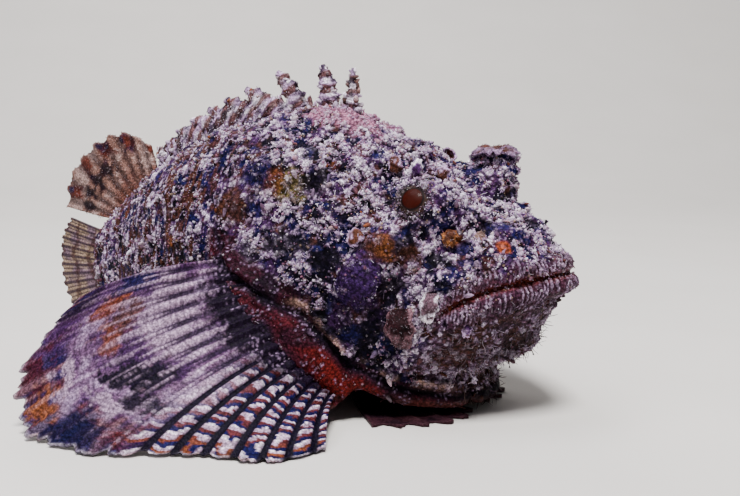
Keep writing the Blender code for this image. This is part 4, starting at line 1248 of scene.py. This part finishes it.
def make_fins():
    """All fins and the spines, with fringes on the soft back fin and the spines."""
    chance = np.random.default_rng(SEED + 2)
    for side, mirror in (("left", False), ("right", True)):
        breast_name = f"pectoral_fin_{side}"
        fin_piece(breast_name, PECTORAL, pectoral_colours, "breast_fin", mirror, PECTORAL_ROWS)
        fin_piece(f"pelvic_fin_{side}", PELVIC, shaded_under_colours, mirror=mirror)
    fin_piece("tail_fin", TAIL_FIN, tail_colours)
    fin_piece("anal_fin", ANAL, shaded_under_colours)
    dorsal = fin_piece("dorsal_soft_fin", SOFT_DORSAL, dorsal_colours)
    make_fringe("dorsal_fringe", dorsal, 1500, (0.5, 1.4), "fin", chance, 0.2)
    make_fringe("spine_fringe", make_spines(), 2800, (0.4, 1.2), "spine", chance, 0.9)


EYE_RINGS, EYE_SIDES = 42, 64
PUPIL_BULGE = 0.35


def make_eyes():
    """Each eye as a ball with a bulging pupil, a black rim round it and a flecked iris."""
    material = eye_material()
    rings, turns = np.arange(1, EYE_RINGS), np.arange(EYE_SIDES)
    angle = np.repeat(math.pi * rings / EYE_RINGS, EYE_SIDES)
    turn = np.tile(2 * math.pi * turns / EYE_SIDES, len(rings))
    radius = EYE_RADIUS + PUPIL_BULGE * np.maximum(0, 1 - (angle / 0.5) ** 2)
    fleck = (0.5 + 0.5 * np.sin(23 * turn + 3 * np.sin(7 * turn) + 9 * angle) * np.sin(31 * angle))[:, None]
    colours = np.array(IRIS_LIGHT) * fleck + np.array(IRIS_DARK) * (1 - fleck)
    colours[angle < PUPIL_ANGLE] = PUPIL_RIM
    colours[angle < PUPIL_ANGLE * 0.9] = PUPIL
    colours = np.concatenate((colours, [PUPIL, (0.05, 0.03, 0.03)]))
    following, last = np.roll(turns, -1), len(angle) - EYE_SIDES
    front = np.stack((following, turns, np.full(EYE_SIDES, len(angle))), 1)
    back = np.stack((last + turns, last + following, np.full(EYE_SIDES, len(angle) + 1)), 1)
    faces = np.concatenate((tube_faces(len(rings), EYE_SIDES), front, back))
    for name, axis in EYES.items():
        side = unit(np.cross(axis, (0, 0, 1)))
        up = np.cross(side, axis)
        across = np.cos(turn)[:, None] * side + np.sin(turn)[:, None] * up
        ball = radius[:, None] * (np.cos(angle)[:, None] * axis + np.sin(angle)[:, None] * across)
        ball = np.concatenate((ball, [(EYE_RADIUS + PUPIL_BULGE) * axis, -EYE_RADIUS * axis]))
        eye = new_piece(name + "_ball", ball + eye_centre(name), faces, colours, material, "eye")
        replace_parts(eye, name)


# The camera is fitted to the fish's points in its picture.
CAMERA_PLACE = np.array((202.1, -364.2, 120.5)) + MOVED
CAMERA_AZIMUTH = math.radians(23.6)
CAMERA_ELEVATION = math.radians(9.0)


# The floor: where it starts and ends, the radius of its rise, and the backdrop's height and half width.
FLOOR_START, FLOOR_END, FLOOR_RISE, FLOOR_DROP = -900, 600, 500, 0.2
BACKDROP_HEIGHT, BACKDROP_HALF = 2200, 2500


def stage():
    """A pale floor that rises softly into a backdrop."""
    made = bpy.data.materials.new("floor")
    made.use_nodes = True
    tree = made.node_tree
    noise = add_node(tree, "TexNoise", {"Scale": 60})
    shades = {"Factor": noise, "A": (0.66, 0.64, 0.61, 1), "B": (0.72, 0.70, 0.67, 1)}
    pale = add_node(tree, "Mix", shades, "Result", data_type="RGBA")
    wire(tree.nodes["Principled BSDF"], {"Base Color": pale, "Roughness": 0.8})
    turns = np.linspace(0.1, math.pi / 2, 16)
    curve = [(FLOOR_END + FLOOR_RISE * math.sin(a), FLOOR_RISE - FLOOR_RISE * math.cos(a)) for a in turns]
    profile = [(FLOOR_START, 0), (FLOOR_END, 0), *curve, (FLOOR_END + FLOOR_RISE, BACKDROP_HEIGHT)]
    heading = Vector((-math.sin(CAMERA_AZIMUTH), math.cos(CAMERA_AZIMUTH), 0))
    sideways = Vector((heading.y, -heading.x, 0))
    sides = (-BACKDROP_HALF, BACKDROP_HALF)
    points = [heading * a + sideways * b + Vector((0, 0, c - FLOOR_DROP)) for a, c in profile for b in sides]
    faces = [(2 * i, 2 * i + 1, 2 * i + 3, 2 * i + 2) for i in range(len(profile) - 1)]
    mesh = bpy.data.meshes.new("floor")
    mesh.from_pydata([point * MM for point in points], [], faces)
    mesh.shade_smooth()
    mesh.materials.append(made)
    add_object("floor", mesh)


def camera():
    """The camera at the fitted place."""
    data = bpy.data.cameras.new("camera")
    data.lens = 50
    data.sensor_width = 36
    data.clip_start = 0.01
    made = add_object("camera", data)
    made.location = Vector(CAMERA_PLACE) * MM
    made.rotation_euler = (math.pi / 2 - CAMERA_ELEVATION, 0, CAMERA_AZIMUTH)
    bpy.context.scene.camera = made


# Soft lights: name, place in metres, width, power in watts and colour.
LIGHTS = [
    ("key", (0.30, -0.50, 1.30), 0.35, 40, (1.0, 0.97, 0.96)),
    ("top", (-0.35, -0.15, 1.2), 0.6, 9, (0.93, 0.93, 1.0)),
    ("fill", (-0.7, -0.9, 0.5), 0.8, 2.0, (0.95, 0.95, 1.0)),
    ("back", (-0.6, 0.8, 0.8), 0.7, 5, (1.0, 0.96, 0.94)),
]
LIT_PLACE = Vector((0, 0, 0.05))


def lights():
    """Square soft lights that face the fish, and a faint even light from all round."""
    for name, place, width, power, colour in LIGHTS:
        data = bpy.data.lights.new(name, "AREA")
        data.size = width
        data.energy = power
        data.color = colour
        light = add_object(name, data)
        light.location = place
        light.rotation_euler = (LIT_PLACE - Vector(place)).to_track_quat("-Z", "Y").to_euler()
    world = bpy.data.worlds.new("studio")
    world.use_nodes = True
    wire(world.node_tree.nodes["Background"], {"Color": (0.80, 0.82, 0.86, 1), "Strength": 0.13})
    bpy.context.scene.world = world


camera()
lights()
stage()
make_coat(make_skin())
make_flaps()
make_fins()
make_eyes()

bpy.context.view_layer.update()
